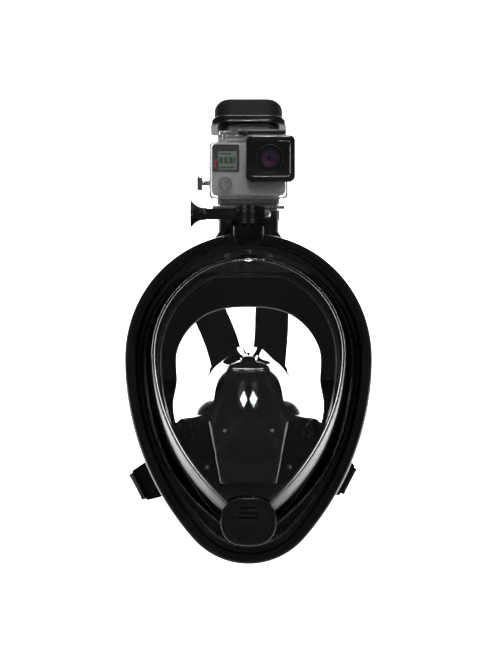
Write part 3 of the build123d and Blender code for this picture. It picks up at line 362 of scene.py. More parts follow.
def clear(name, tint, rough, smudge_scale, weight=1.0, alpha=1.0):
    """Clear plastic, with faint smudges in its gloss."""
    material, tree, shader = new_material(name)
    smudges = add_noise(tree, smudge_scale, 6.0)
    paler = tuple(min(1, c * 1.05) for c in tint)
    plug(tree, shader, {
        "Base Color": mottle(tree, smudges, tint, paler),
        "Roughness": map_range(tree, smudges, *rough),
        "Transmission Weight": weight,
        "IOR": ACRYLIC_IOR,
        "Alpha": alpha,
    })
    return material


def webbing(name, dark, light):
    """Ribbed elastic strap: fine ribs across it and a faint sheen."""
    material, tree, shader = new_material(name)
    inputs = {"Vector": coordinates(tree, "UV"), "Scale": 260.0, "Distortion": 0.6}
    ribs = add_node(tree, "ShaderNodeTexWave", inputs, wave_type="BANDS", bands_direction="X")
    speck = add_noise(tree, 1800.0, 2.0)
    plug(tree, shader, {
        "Base Color": mottle(tree, speck, dark, light),
        "Roughness": map_range(tree, speck, 0.5, 0.75),
        "Sheen Weight": 0.02,
        "Specular IOR Level": 0.1,
    })
    add_bump(tree, shader, ribs.outputs["Fac"], 0.6, 0.0004)
    return material


BEZEL = moulded("bezel_gloss_black", (0.006, 0.006, 0.007), (0.011, 0.011, 0.012),
                (0.05, 0.11), 900, 0.04, coat=0.5)
FRAME = moulded("frame_satin_black", (0.008, 0.008, 0.009), (0.015, 0.015, 0.016),
                (0.25, 0.36), 1500, 0.12)
SKIRT = moulded("skirt_silicone", (0.007, 0.007, 0.008), (0.013, 0.013, 0.014),
                (0.3, 0.42), 1200, 0.1)
POCKET = moulded("pocket_gloss_silicone", (0.004, 0.004, 0.0045), (0.007, 0.007, 0.008),
                 (0.045, 0.1), 500, 0.02, coat=1.0, ior=1.6)
VALVE = moulded("valve_silicone", (0.4, 0.42, 0.42), (0.52, 0.54, 0.54), (0.3, 0.42), 1600, 0.05)
STEEL = moulded("polished_steel", (0.55, 0.55, 0.56), (0.7, 0.7, 0.71), (0.14, 0.28), 2200, 0.05,
                metallic=1.0)
TUBE = moulded("tube_satin_grey", (0.012, 0.012, 0.0125), (0.02, 0.02, 0.021), (0.42, 0.52),
               2400, 0.25)
CAP = moulded("cap_matte_grey", (0.012, 0.012, 0.0125), (0.018, 0.018, 0.0185), (0.5, 0.62),
              2400, 0.35, shine=0.15)
BLACK = moulded("black_moulding", (0.005, 0.005, 0.0055), (0.010, 0.010, 0.011), (0.28, 0.4),
                1900, 0.15, shine=0.3)
BROW = moulded("brow_grey", (0.12, 0.12, 0.125), (0.15, 0.15, 0.155), (0.45, 0.6), 1500, 0.1)
DRAIN = moulded("drain_satin", (0.014, 0.014, 0.0145), (0.022, 0.022, 0.0225), (0.24, 0.34), 1500,
                0.1, coat=0.3)
STUD = moulded("stud_steel", (0.7, 0.7, 0.7), (0.85, 0.85, 0.85), (0.4, 0.55), 1500, 0.1,
               metallic=1.0)
KNOB = moulded("knob_grip", (0.006, 0.006, 0.006), (0.011, 0.011, 0.011), (0.35, 0.5), 2500, 0.3)
CLIP = moulded("clip_matte_black", (0.004, 0.004, 0.0045), (0.009, 0.009, 0.0095), (0.5, 0.65),
               1900, 0.2, shine=0.0)
CAMERA = moulded("camera_silver_grey", (0.72, 0.715, 0.7), (0.8, 0.795, 0.78), (0.36, 0.46),
                 3200, 0.22)
FOAM = moulded("float_foam", (0.7, 0.67, 0.58), (0.8, 0.77, 0.68), (0.7, 0.85), 900, 0.5)
VISOR = clear("visor_clear", (0.93, 0.945, 0.95), (0.0, 0.025), 35)
HOUSING = clear("housing_polycarbonate", (0.93, 0.945, 0.95), (0.01, 0.05), 60, weight=0.93,
                alpha=0.6)
WINDOW = clear("port_glass", (0.75, 0.74, 0.8), (0.0, 0.02), 60)
STRAP = webbing("strap_elastic", (0.003, 0.003, 0.0032), (0.007, 0.007, 0.0075))

# ---------- 1. bezel
BEZEL_SECTION = [  # (inset from the outline, radius from the head axis)
    (0.0, 151.2), (0.0, 160.0), (0.0, 167.6), (0.25, 168.7), (0.9, 169.5), (2.0, 169.9),
    (4.5, 170.0), (7.2, 169.7), (8.4, 169.2), (9.0, 168.3), (9.1, 166.4), (6.0, 166.1),
    (3.8, 165.9), (3.6, 160.0), (3.6, 151.2),
]


def make_bezel():
    """The glossy ring that holds the mask together, its front gently crowned."""
    rings = wrapped_rings(BEZEL_SECTION)
    points, faces = loft(rings, close_loop=True)
    mesh_object("bezel_ring", points, faces, BEZEL, "mask", ["front_frame"],
                sharp=50)


make_bezel()

# ---------- 2. visor
DOME_INSET, DOME_KNEE_Y, DOME_FRONT_Y = 17.3, -44.0, -115.0
FRONT_EGG, FRONT_RISE = (70.5, 96.0, 26.0), 8.0  # the dome narrows to this egg at DOME_FRONT_Y
VISOR_WALL = 2.4
PROFILE_Z = [-170, -148, -110, -60, 0, 60, 100]
PROFILE_Y = [-60, -65, -79, -92, -96, -88, -76]
DOME_MIDDLE = np.array([0.0, -14.0])
DOME_ROUND = 2.4  # size of the rounded shoulder
APRON_R = 166.6  # layer of the visor's face between its flange and its dome
APRON_INSET = 16.0
FLANGE_SECTION = [  # (inset from the outline, radius from the head axis)
    (3.9, 162.2), (3.9, 165.2), (4.2, 165.8), (8.0, 165.8), (12.0, 165.8), (14.6, 165.8),
    (15.1, 166.5), (APRON_INSET, APRON_R),
]
FOOT_RISE = 1.2  # size of the fillet at the dome's foot
DRAIN_TOP_Z, DRAIN_HALF, DRAIN_HIGH, DRAIN_CORNER = -110.0, 22.0, 38.0, 17.0
DRAIN_BACK_Y, DRAIN_OVERLAP = -40.0, 2.5
OUTWARD = np.stack([np.cos(NORMALS), np.sin(NORMALS)], axis=1)
KNEE_EGG = egg(DOME_INSET)
NARROWING = any_egg(*FRONT_EGG) + [0, FRONT_RISE] - KNEE_EGG


def barrel_y(points):
    """y of the dome's front: its side profile turned about the head axis."""
    radius = HEAD_AXIS_Y - curve_through(PROFILE_Z, PROFILE_Y, points[:, 1])
    return HEAD_AXIS_Y - np.sqrt(radius**2 - points[:, 0] ** 2)


def wall_at(y):
    """(x, z) of the dome's wall at y, a value for each point: straight at first, then narrowing."""
    share = np.clip((DOME_KNEE_Y - y) / (DOME_KNEE_Y - DOME_FRONT_Y), 0, 1)
    return KNEE_EGG + NARROWING * share[:, None]


def settle(surface_y):
    """(x, z) and y where the dome's wall meets a surface given as y of (x, z) points."""
    points = KNEE_EGG
    for _ in range(12):
        y = surface_y(points)
        points = 0.5 * points + 0.5 * wall_at(y)
    return points, y


def visor_rings():
    """Rings of the visor's front surface, from the flange's edge to the middle of the dome."""
    rings = wrapped_rings(FLANGE_SECTION)
    foot, foot_y = settle(lambda p: layer_y(p[:, 0], APRON_R))
    top, top_y = settle(barrel_y)
    for points in between(egg(APRON_INSET), foot + OUTWARD * FOOT_RISE, (0.35, 0.75)):
        rings.append(ring(points, layer_y(points[:, 0], APRON_R)))
    for back, rise in ((0.5, 0.3), (0.05, FOOT_RISE)):
        rings.append(ring(foot + OUTWARD * back, foot_y - rise))
    for y in between(foot_y - FOOT_RISE, top_y + DOME_ROUND, (0.12, 0.3, 0.5, 0.75, 1.0)):
        rings.append(ring(wall_at(y), y))
    front = top - OUTWARD * DOME_ROUND
    rings += bent(rings[-1], ring(top, top_y), ring(front, barrel_y(front)), 8)
    for points in between(DOME_MIDDLE, front, np.linspace(1, 0, 26)[1:-1]):
        rings.append(ring(points, barrel_y(points)))
    return rings


def in_drain(x, z):
    """Whether a point lies inside the chin drain's rounded outline, drawn in a little."""
    corner = DRAIN_CORNER - DRAIN_OVERLAP
    over_x = abs(x) - (DRAIN_HALF - DRAIN_CORNER)
    over_z = abs(z - DRAIN_TOP_Z + DRAIN_HIGH / 2) - (DRAIN_HIGH / 2 - DRAIN_CORNER)
    return math.hypot(max(over_x, 0), max(over_z, 0)) < corner


def cut_drain(obj):
    """Remove the faces that would pass through the chin drain; their rim hides in its wall."""
    work = bmesh.new()
    work.from_mesh(obj.data)
    inside = []
    for face in work.faces:
        middle = face.calc_center_median() / MM
        if middle.y < DRAIN_BACK_Y and in_drain(middle.x, middle.z):
            inside.append(face)
    bmesh.ops.delete(work, geom=inside, context="FACES")
    work.to_mesh(obj.data)
    work.free()


def make_visor():
    """Clear domed visor with its stepped flange."""
    points, faces = loft(visor_rings())
    close_with_fan(points, faces, AROUND, DOME_MIDDLE, barrel_y)
    visor = mesh_object("visor_dome", points, faces, VISOR, "mask", ["visor"])
    cut_drain(visor)
    add_modifier(visor, "SOLIDIFY", thickness=VISOR_WALL * MM, offset=-1.0)


make_visor()

# ---------- 3. skirt
SKIRT_INSET = 8.5
SKIRT_TAPER = math.tan(math.radians(8))
SKIRT_WALL = 2.5
SKIRT_LEVEL_Y = -62.0  # where the wall's inset is SKIRT_INSET
SEAL_R, SEAL_INNER_R = 110.0, 113.0
BEAD_R, BEAD_BACK_R = 161.3, 156.2  # layers of the bead that the visor and the frame clamp
BEAD_CHAMFER = [(13.5, 156.4), (13.5, 160.6), (12.6, BEAD_R)]
SEAL_CORNER, SKIRT_BULGE = 6.0, 0.9
LIP_FROM = 0.6  # share of the way to the opening where its lip begins to roll back
LIP_OUTER, LIP_INNER, LIP_EDGE = 2.6, 2.2, 3.6  # how far its two faces and its edge roll
OPENING = [(0, 42), (39, 33), (58, 8), (59, -20), (62, -40), (48, -76), (0, -100)]
OPENING_MIDDLE = np.array([0.0, -27.0])


def opening_outline():
    """(x, z) of the face opening, a point for each point of the egg, by direction."""
    right = np.array(OPENING, float)
    both = np.concatenate([right, (right * [-1, 1])[::-1][1:-1]])
    offset = both - OPENING_MIDDLE
    angle = np.unwrap(np.arctan2(offset[:, 1], offset[:, 0]))
    reach = np.hypot(offset[:, 0], offset[:, 1])
    order = np.argsort(angle % (2 * math.pi))
    known = (angle % (2 * math.pi))[order]
    known = np.concatenate([known - 2 * math.pi, known, known + 2 * math.pi])
    reach = np.tile(reach[order], 3)
    toward = egg(16) - OPENING_MIDDLE
    wanted = np.arctan2(toward[:, 1], toward[:, 0]) % (2 * math.pi)
    distance = curve_through(known, reach, wanted)
    return OPENING_MIDDLE + np.stack([np.cos(wanted), np.sin(wanted)], axis=1) * distance[:, None]


def skirt_inset(y):
    """Inset of the skirt's tapered wall at y."""
    return SKIRT_INSET + (y - SKIRT_LEVEL_Y) * SKIRT_TAPER


def skirt_at(radius, extra):
    """(x, z) and y where the skirt's wall, drawn in by extra, crosses a layer."""
    inset = np.full(AROUND, 14.0)
    for _ in range(6):
        points = egg(inset)
        y = layer_y(np.clip(points[:, 0], -105, 105), radius)
        inset = skirt_inset(y) + extra
    return egg(inset), y


def lip_roll(share):
    """How far the lip has rolled back, 0 to 1, at a share of the way to the opening."""
    return smooth_step((share - LIP_FROM) / (1 - LIP_FROM))


def make_skirt():
    """Soft skirt: bead under the visor, tapered wall, and a rolled lip round the face opening."""
    opening = opening_outline()
    wall_points, wall_y = skirt_at(BEAD_BACK_R, 0)
    seal_points, seal_y = skirt_at(SEAL_R, 0)
    inner_points, inner_y = skirt_at(SEAL_INNER_R + 0.4, SKIRT_WALL)
    front_points, front_y = skirt_at(BEAD_BACK_R, SKIRT_WALL)
    rings = [wrapped(4.2, BEAD_R), wrapped(4.2, BEAD_BACK_R + 0.1), ring(wall_points, wall_y)]
    for share in (0.2, 0.45, 0.7, 0.9):
        y = wall_y + (seal_y - SEAL_CORNER - wall_y) * share
        bulge = SKIRT_BULGE * math.sin(math.pi * share)
        rings.append(ring(egg(skirt_inset(y) - bulge), y))
    inward = seal_points + (opening - seal_points) * 0.16
    rings += bent(rings[-1], ring(seal_points, seal_y),
                  ring(inward, layer_y(inward[:, 0], SEAL_R)), 6)
    for share in (0.3, 0.5, 0.7, 0.85, 0.95, 1.0):
        points = seal_points + (opening - seal_points) * share
        roll = LIP_OUTER * lip_roll(share) - SKIRT_BULGE * math.sin(math.pi * share)
        rings.append(ring(points, layer_y(points[:, 0], SEAL_R + roll)))
    rim = opening + (opening - OPENING_MIDDLE) * -0.012
    rings.append(ring(rim, layer_y(rim[:, 0], SEAL_R + LIP_EDGE)))
    for share in (1.0, 0.9, 0.7, 0.5, 0.3, 0.1):
        points = inner_points + (opening - inner_points) * share
        layer = SEAL_INNER_R + LIP_INNER * lip_roll(share)
        rings.append(ring(points, layer_y(points[:, 0], layer)))
    for y in between(front_y, inner_y, (0.9, 0.6, 0.3)):
        rings.append(ring(egg(skirt_inset(y) + SKIRT_WALL), y))
    rings += [ring(front_points, front_y)] + wrapped_rings(BEAD_CHAMFER)
    points, faces = loft(rings, close_loop=True)
    mesh_object("face_skirt_soft", points, faces, SKIRT, "mask", ["face_skirt"],
                sharp=55)


make_skirt()

TUNNEL_INSET, TUNNEL_FRONT_R, TUNNEL_BACK_R = 27.0, 169.5, 112.5
TUNNEL_LAYERS = [TUNNEL_BACK_R, 120, 130, 140, 150, 160, 166, TUNNEL_FRONT_R - 0.8]
EYE_TOP = 68.0


def tunnel_outline(inset):
    """(x, z) of the eye chamber: the egg with its top cut flat at eye level."""
    points = egg(TUNNEL_INSET + inset)
    return np.stack([points[:, 0], soft_min(points[:, 1], EYE_TOP - inset, 3.0)], axis=1)


def make_tunnel():
    """Wall of the eye chamber, from the face seal to just behind the visor."""
    outer, inner = tunnel_outline(0), tunnel_outline(SKIRT_WALL)
    middle = tunnel_outline(SKIRT_WALL / 2)
    rings = [ring(outer, layer_y(outer[:, 0], radius)) for radius in TUNNEL_LAYERS]
    rings.append(ring(middle, layer_y(middle[:, 0], TUNNEL_FRONT_R)))
    rings += [ring(inner, layer_y(inner[:, 0], radius)) for radius in reversed(TUNNEL_LAYERS)]
    points, faces = loft(rings, close_loop=True)
    tunnel = mesh_object("eye_chamber_wall", points, faces, SKIRT, "mask", ["face_skirt"])
    cut_drain(tunnel)


make_tunnel()

# ---------- 4. nose pocket
# Right half of two rings, from the top round to the bottom; the left half mirrors it.
POCKET_BACK = [(0, 0.9), (3.1, 7), (6.7, 8.9), (11.8, 7.7), (18.6, 0.9), (23.8, -4.3), (27.9, -8.4),
               (32, -14), (35, -18.2), (38.2, -22), (43.4, -29.6), (50.6, -40.5), (58.4, -51.3),
               (62, -58), (59, -68), (53, -81), (44, -94), (34, -105), (20, -112), (0, -112)]
POCKET_EDGE = [(0, 2.2), (3.4, 2), (5.6, 0), (6.2, -2), (10.5, -3.2), (16, -5.5), (21, -10.5),
               (24.5, -16.5), (26.8, -25), (28.3, -35), (33, -43), (43, -46.8), (56, -49.6),
               (57, -59), (53.5, -68.5), (49.5, -78), (41, -90), (29, -100.5), (15, -104), (0, -98)]
POCKET_MIDDLE = np.array([0.0, -50.0])
POCKET_FRONT_Y, POCKET_DEEP = -66.0, 80.0
POCKET_BACK_LAYER = 113.4
POCKET_WALL = 2.2
FACET_X, FACET_Y, FACET_Z, FACET_SLOPE = 3.85, -71.0, -32.0, math.tan(math.radians(20))
FACET_CORNERS = [(3.1, 0), (0, 6.6), (-3.1, 0), (0, -6.6)]
FACET_DEEP = 5.5
CREASE_TOP, CREASE_FOOT = np.array([2.5, -44.0]), np.array([34.0, -90.0])
CREASE_DEEP, CREASE_HALF = 1.3, 1.2
NOSE_RISE, NOSE_Z, NOSE_HALF = 2.4, -34, (6.5, 17)
HOLLOW_DEEP, HOLLOW_Z, HOLLOW_HALF = 2.2, -84, (14, 22)
PLATE_TOP_Z, BROW_RUN, PLATE_FOOT_Z, CHIN_RUN = -8, 47, -100, 16
PLATE_HALF = ([PLATE_FOOT_Z, -50, PLATE_TOP_Z], [22, 30, 14])  # z and half width of the level front
FLANK_HALF = ([-116, -50, 22], [42, 72, 14])  # the same at the back of the cheeks


def smooth_outline(half):
    """Closed smooth ring through the given right half and its mirror image."""
    half = np.array(half, float)
    marks = np.arange(len(half))
    at = np.linspace(0, len(half) - 1, 96)
    x, z = curve_through(marks, half[:, 0], at), curve_through(marks, half[:, 1], at)
    x[0] = x[-1] = 0
    right = np.stack([x, z], axis=1)
    left = (right * [-1, 1])[::-1][1:-1]
    return np.concatenate([right, left])


def soft_max(a, b, width):
    """The larger of two values, with a rounded change between them."""
    return -soft_min(-np.asarray(a), -np.asarray(b), width)


def to_segment(points, start, end):
    """Distance of (x, z) points from a straight segment."""
    along = end - start
    share = np.clip(((points - start) @ along) / (along @ along), 0, 1)
    return np.linalg.norm(points - start - share[:, None] * along, axis=1)


def mound(x, z, half):
    """Height of a smooth mound of height 1 with the given half widths."""
    return np.exp(-((x / half[0]) ** 2) - (z / half[1]) ** 2)


def pocket_front_y(points):
    """y of the pocket's front: a plate with sloping cheeks, a nose ridge and a moulded crease."""
    x, z = np.abs(points[:, 0]), points[:, 1]
    front_half, back_half = np.interp(z, *PLATE_HALF), np.interp(z, *FLANK_HALF)
    cheek = (x - front_half) / (back_half - front_half)
    brow = (z - PLATE_TOP_Z) / BROW_RUN
    chin = (PLATE_FOOT_Z - z) / CHIN_RUN
    slope = soft_max(soft_max(soft_max(0 * x, cheek, 0.05), brow, 0.04), chin, 0.06)
    folded = np.stack([x, z], axis=1)
    crease_at = to_segment(folded, CREASE_TOP, CREASE_FOOT) / CREASE_HALF
    crease = CREASE_DEEP * np.exp(-(crease_at**2))
    nose = NOSE_RISE * mound(x, z - NOSE_Z, NOSE_HALF)
    hollow = HOLLOW_DEEP * mound(x, z - HOLLOW_Z, HOLLOW_HALF)
    return POCKET_FRONT_Y + POCKET_DEEP * slope - crease - nose + hollow


def make_nose_facets():
    """Two diamond facets moulded into the nose ridge, leaning back so that they catch the light."""
    points, faces = [], []
    for side in (1, -1):
        for back in (0, FACET_DEEP):
            for dx, dz in FACET_CORNERS:
                y = FACET_Y + dz * FACET_SLOPE + back
                points.append((side * (FACET_X + dx), y, FACET_Z + dz))
        first = len(points) - 8
        faces.append((first, first + 1, first + 2, first + 3))
        for i in range(4):
            k = (i + 1) % 4
            faces.append((first + i, first + k, first + 4 + k, first + 4 + i))
    mesh_object("nose_ridge_facets", points, faces, POCKET, "mask", ["nose_pocket"],
                sharp=25)


def make_pocket():
    """Nose and mouth pocket: grazing flanks from the face seal to a bell-shaped front."""
    back = smooth_outline(POCKET_BACK)
    edge = smooth_outline(POCKET_EDGE)
    back_ring = ring(back, layer_y(back[:, 0], POCKET_BACK_LAYER))
    edge_ring = ring(edge, pocket_front_y(edge) + 0.8)
    stations = between(back_ring, edge_ring, (0, 0.15, 0.3, 0.45, 0.6, 0.75, 0.87, 0.95, 1.0))
    for share in [0.99, 0.975, 0.95] + list(np.linspace(0.92, 0.04, 23)):
        points = POCKET_MIDDLE + (edge - POCKET_MIDDLE) * share
        stations.append(ring(points, pocket_front_y(points) + 0.25 * (share > 0.98)))
    points, faces = loft(stations)
    close_with_fan(points, faces, len(edge), POCKET_MIDDLE, pocket_front_y)
    pocket = mesh_object("nose_pocket_soft", points, faces, POCKET, "mask", ["nose_pocket"])
    add_modifier(pocket, "SUBSURF", levels=1, render_levels=1)
    add_modifier(pocket, "SOLIDIFY", thickness=POCKET_WALL * MM, offset=-1.0)


make_pocket()
make_nose_facets()

# ---------- 5. straps
STRAP_THICK, UPPER_WIDE, LOWER_WIDE = 2.5, 28.0, 23.5
STRAP_BACK_Y = 90.9
ANCHOR = np.array([60.0, -18.5, 71.0])
SLOT_TOWARD, UPPER_STEPS = (13.0, 0.0), 90
UPPER_PATH = {  # points of each upper strap behind its anchor; the left one lies further out
    "right": [(56, 30, 76), (39, 76, 70), (22, 90.9, 50), (19, 90.9, 18), (16.5, 90.9, -12)],
    "left": [(59, 30, 72), (50, 76, 65), (36.5, 90.9, 44), (23, 90.9, 14), (15.5, 90.9, -12)],
}
LOWER_END = (18.0, -45.0)
PIN_POINT = np.array([73.7, -13.0, -96.6])
FRAME_OUT = np.array([0.89, 0.0, -0.455])
CLIP_SWING = {"right": math.radians(9.5), "left": math.radians(25)}
CLIP_SLOT, CLIP_END, LOWER_START, LOWER_STRAIGHT = 32.0, 38.0, 40.5, 12.0
CLIP_LOOP = [  # (place along the clip, distance in front of its plate) round the bar of its slot
    (CLIP_END + 4, 3.4), (CLIP_SLOT + 4, 4.0), (CLIP_SLOT + 0.5, 4.0), (CLIP_SLOT, 0),
    (CLIP_SLOT + 0.5, -4.0), (CLIP_SLOT + 4, -4.0), (CLIP_END + 3, -1.5),
]
TAIL_REACHES, TAIL_OFF = (8, 5, 2), 3.0  # the turned-back end, which lies on the outside
TAUT_FROM, CLIP_REACH = 6.0, 10.0  # straight for the slider from here; the clip pulls up to there


def unit(v):
    """Vector of length 1 along v."""
    return np.asarray(v, float) / np.linalg.norm(v)


def cut_corners(points):
    """Round a path by cutting its corners again and again; its two ends stay."""
    points = np.asarray(points, float)
    for _ in range(4):
        first, second = points[:-1], points[1:]
        near, far = first * 0.75 + second * 0.25, first * 0.25 + second * 0.75
        inner = np.stack([near, far], axis=1).reshape(-1, points.shape[1])
        points = np.concatenate([points[:1], inner, points[-1:]])
    return points


def spaced(points, step):
    """The same path with points about step apart."""
    gaps = np.linalg.norm(np.diff(points[:, :3], axis=0), axis=1)
    marks = np.concatenate([[0], np.cumsum(gaps)])
    at = np.linspace(0, marks[-1], max(8, int(marks[-1] / step)))
    columns = [np.interp(at, marks, points[:, c]) for c in range(points.shape[1])]
    return np.stack(columns, axis=1), at


def strap_section(width):
    """Rounded strap cross-section with a slightly thicker hem along both edges."""
    half, t = width / 2, STRAP_THICK / 2
    top = [(-half, t * 0.35), (-half + 0.35, t * 0.85), (-half + 0.9, t), (-half + 2.2, t),
           (-half + 2.9, t * 0.8), (0, t * 0.8), (half - 2.9, t * 0.8), (half - 2.2, t),
           (half - 0.9, t), (half - 0.35, t * 0.85), (half, t * 0.35)]
    return np.array(top + [(a, -b) for a, b in reversed(top)])


def band_mesh(name, path, width, body, stands_for):
    """Strap along a path; each row of path is a point and its width direction, 6 numbers."""
    path, along = spaced(path, 2.2)
    places = path[:, :3]
    tangents = np.gradient(places, axis=0)
    tangents /= np.linalg.norm(tangents, axis=1)[:, None]
    section = strap_section(width)
    rings = []
    for place, tangent, aside in zip(places, tangents, path[:, 3:]):
        aside = unit(aside - tangent * np.dot(aside, tangent))
        up = np.cross(tangent, aside)
        rings.append([place + aside * a + up * b for a, b in section])
    points, faces = loft(rings, caps=True)
    strap = mesh_object(name, points, faces, STRAP, body, stands_for, sharp=45)
    layer = strap.data.uv_layers.new(name="along")
    count = len(section)
    for loop in strap.data.loops:
        row, column = divmod(loop.vertex_index, count)
        row = min(row, len(along) - 1)
        layer.data[loop.index].uv = (along[row] * MM, section[column][0] * MM)
    return strap


def strap_path(start, end, straight, side):
    """Path of a strap from its start, straight back, then round to the pad, as in the CAD."""
    x0, y0, z0 = start
    dx, dz = end[0] - x0, end[1] - z0
    length = math.hypot(dx, dz)
    ahead = np.array([side * dx / length, 0, dz / length])
    aside = np.cross(ahead, [0, 1, 0])
    base = np.array([side * x0, 0, z0])
    knots = [(0, y0), (1, (y0 + straight) / 2), (2, straight), (length - 24, STRAP_BACK_Y),
             (length - 12, STRAP_BACK_Y), (length, STRAP_BACK_Y)]
    return [np.concatenate([base + ahead * u + [0, y, 0], aside]) for u, y in knots]


def clip_axes(side, swing):
    """Directions of a side clip: along its pin, along its plate and out of its face."""
    out = FRAME_OUT * [side, 1, 1]
    plate = out * math.sin(swing) + np.array([0, math.cos(swing), 0])
    face = out * math.cos(swing) - np.array([0, math.sin(swing), 0])
    return np.cross(plate, face), plate, face


def upper_path(name, side):
    """Smooth path of an upper strap; its width direction turns from the slot's to its own."""
    knots = [ANCHOR + [0, 4, 0], ANCHOR + [0, 12, 0]] + [np.array(p) for p in UPPER_PATH[name]]
    knots = np.array(knots) * [side, 1, 1]
    marks = np.concatenate([[0], np.cumsum(np.linalg.norm(np.diff(knots, axis=0), axis=1))])
    at = np.linspace(0, marks[-1], UPPER_STEPS)
    places = np.stack([curve_through(marks, knots[:, c], at) for c in range(3)], axis=1)
    tangents = np.gradient(places, axis=0)
    inward = np.array([side * (SLOT_TOWARD[0] - ANCHOR[0]), 0, SLOT_TOWARD[1] - ANCHOR[2]])
    slot_width = unit(np.cross([0, 1, 0], inward))
    share = np.linspace(0, 1, UPPER_STEPS)[:, None]
    flat = np.cross([0, 1, 0], tangents / np.linalg.norm(tangents, axis=1)[:, None])
    return np.concatenate([places, slot_width * (1 - share) ** 3 + flat * share], axis=1)


def lower_path(name, side):
    """Path of a lower strap, and two points: one just past its clip's end and one on the strap
    beyond its bend.
    """
    pin_dir, plate, face = clip_axes(side, CLIP_SWING[name])
    pin = PIN_POINT * [side, 1, 1]
    begin = pin + plate * LOWER_START
    main = strap_path(begin * [side, 1, 1], LOWER_END, begin[1] + LOWER_STRAIGHT, side)
    aside = main[0][3:]
    if np.dot(aside, pin_dir) < 0:
        pin_dir = -pin_dir
    bend = main[2][:3]
    away = unit(main[3][:3] - bend)
    outward = np.cross(away, aside)
    outward *= TAIL_OFF * np.sign(np.dot(outward, face))
    tail = [np.concatenate([bend + away * reach + outward, aside]) for reach in TAIL_REACHES]
    loop = [np.concatenate([pin + plate * u + face * v, pin_dir]) for u, v in CLIP_LOOP]
    main.insert(3, np.concatenate([bend + away * TAUT_FROM, aside]))
    path = cut_corners(tail + loop + main[1:])
    return path, pin + plate * (CLIP_END + 1), bend + away * CLIP_REACH


def make_straps():
    """Two upper straps, and two lower straps that loop through their clips' slots."""
    for name, side in (("right", 1), ("left", -1)):
        band_mesh(f"upper_strap_band_{name}", upper_path(name, side), UPPER_WIDE, "mask",
                  [f"upper_strap_{name}"])
        path, near, far = lower_path(name, side)
        strap = band_mesh(f"lower_strap_band_{name}", path, LOWER_WIDE, None,
                          [f"lower_strap_{name}"])
        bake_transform(strap)


make_straps()

PAD_Y, PAD_THICK = 92.6, 4.0
PAD_CLEAR = 0.4  # the unswollen pad's gap off the straps, and how far out the swollen one may go
PAD_SECTION = [  # (share of the outline, height over the pad's front)
    (0.02, 0), (0.35, 0), (0.7, 0), (0.93, 0.1), (0.985, 0.7), (0.985, 1.5), (0.93, 2.1),
    (0.7, 2.2), (0.35, 2.2), (0.02, 2.2),
]
PAD_VOXEL = 0.0018  # metres
CLOTH_FRAMES, CLOTH_PRESSURE, SWELL_MOST = 12, 3.0, 2.0
CHANNELS_X, CHANNEL_HALF, CHANNEL_DEEP = (-13, 13), 1.1, 0.9
PAD_OUTLINE = [(-28, 6), (28, 6), (38, -20), (34, -64), (-34, -64), (-38, -20)]


def pad_material():
    """Soft knitted cover: a fine diagonal weave with a little fuzz."""
    material, tree, shader = new_material("pad_knit")
    heights = []
    for turn in (0.8, -0.8):
        inputs = {"Vector": coordinates(tree), "Rotation": (0, turn, 0)}
        turned = add_node(tree, "ShaderNodeMapping", inputs)
        inputs = {"Vector": turned.outputs["Vector"], "Scale": 170.0, "Distortion": 0.8}
        heights.append(add_node(tree, "ShaderNodeTexWave", inputs).outputs["Fac"])
    fuzz = add_noise(tree, 900.0, 3.0)
    plug(tree, shader, {
        "Base Color": mottle(tree, fuzz, (0.012, 0.012, 0.013), (0.024, 0.024, 0.026)),
        "Roughness": map_range(tree, fuzz, 0.75, 0.95),
        "Sheen Weight": 0.5,
    })
    add_bump(tree, shader, calculate(tree, "MULTIPLY", *heights), 0.7, 0.0006)
    return material


def rounded_polygon(corners, cut):
    """Closed outline of a polygon with its corners rounded by cutting."""
    points = np.array(corners, float)
    for _ in range(4):
        nxt = np.roll(points, -1, axis=0)
        points = np.stack([points * (1 - cut) + nxt * cut, points * cut + nxt * (1 - cut)],
                          axis=1).reshape(-1, 2)
        cut = 0.25
    return points


def make_pad():
    """Stuffed pad at the back of the head: swollen by a short cloth simulation, then quilted."""
    outline = rounded_polygon(PAD_OUTLINE, 0.18)
    outline = outline[:: max(1, len(outline) // 96)]
    middle = outline.mean(axis=0)
    rings = []
    for share, lift in PAD_SECTION:
        rings.append(ring(middle + (outline - middle) * share, PAD_Y + PAD_CLEAR + lift))
    points, faces = loft(rings, caps=True)
    pad = mesh_object("strap_pad_soft", points, faces, pad_material(), "mask", ["strap_pad"])
    add_modifier(pad, "REMESH", mode="VOXEL", voxel_size=PAD_VOXEL)
    bake(pad)
    cloth = pad.modifiers.new("cloth", "CLOTH")
    cloth.settings.use_pressure = True
    cloth.settings.uniform_pressure_force = CLOTH_PRESSURE
    cloth.settings.effector_weights.gravity = 0
    for number in range(1, CLOTH_FRAMES + 1):
        bpy.context.scene.frame_set(number)
    swell_and_apply(pad, SWELL_MOST)
    bpy.context.scene.frame_set(1)
    quilt(pad)
    add_modifier(pad, "SUBSURF", levels=1, render_levels=1)


def bake(obj):
    """Apply the modifiers on an object to its mesh."""
    graph = bpy.context.evaluated_depsgraph_get()
    done = bpy.data.meshes.new_from_object(obj.evaluated_get(graph))
    obj.modifiers.clear()
    obj.data = done


def swell_and_apply(obj, most):
    """Apply a cloth result, moving no point further than most millimetres."""
    graph = bpy.context.evaluated_depsgraph_get()
    result = obj.evaluated_get(graph).to_mesh()
    for vertex, moved in zip(obj.data.vertices, result.vertices):
        step = moved.co - vertex.co
        if step.length > most * MM:
            step *= most * MM / step.length
        vertex.co += step
    obj.modifiers.clear()


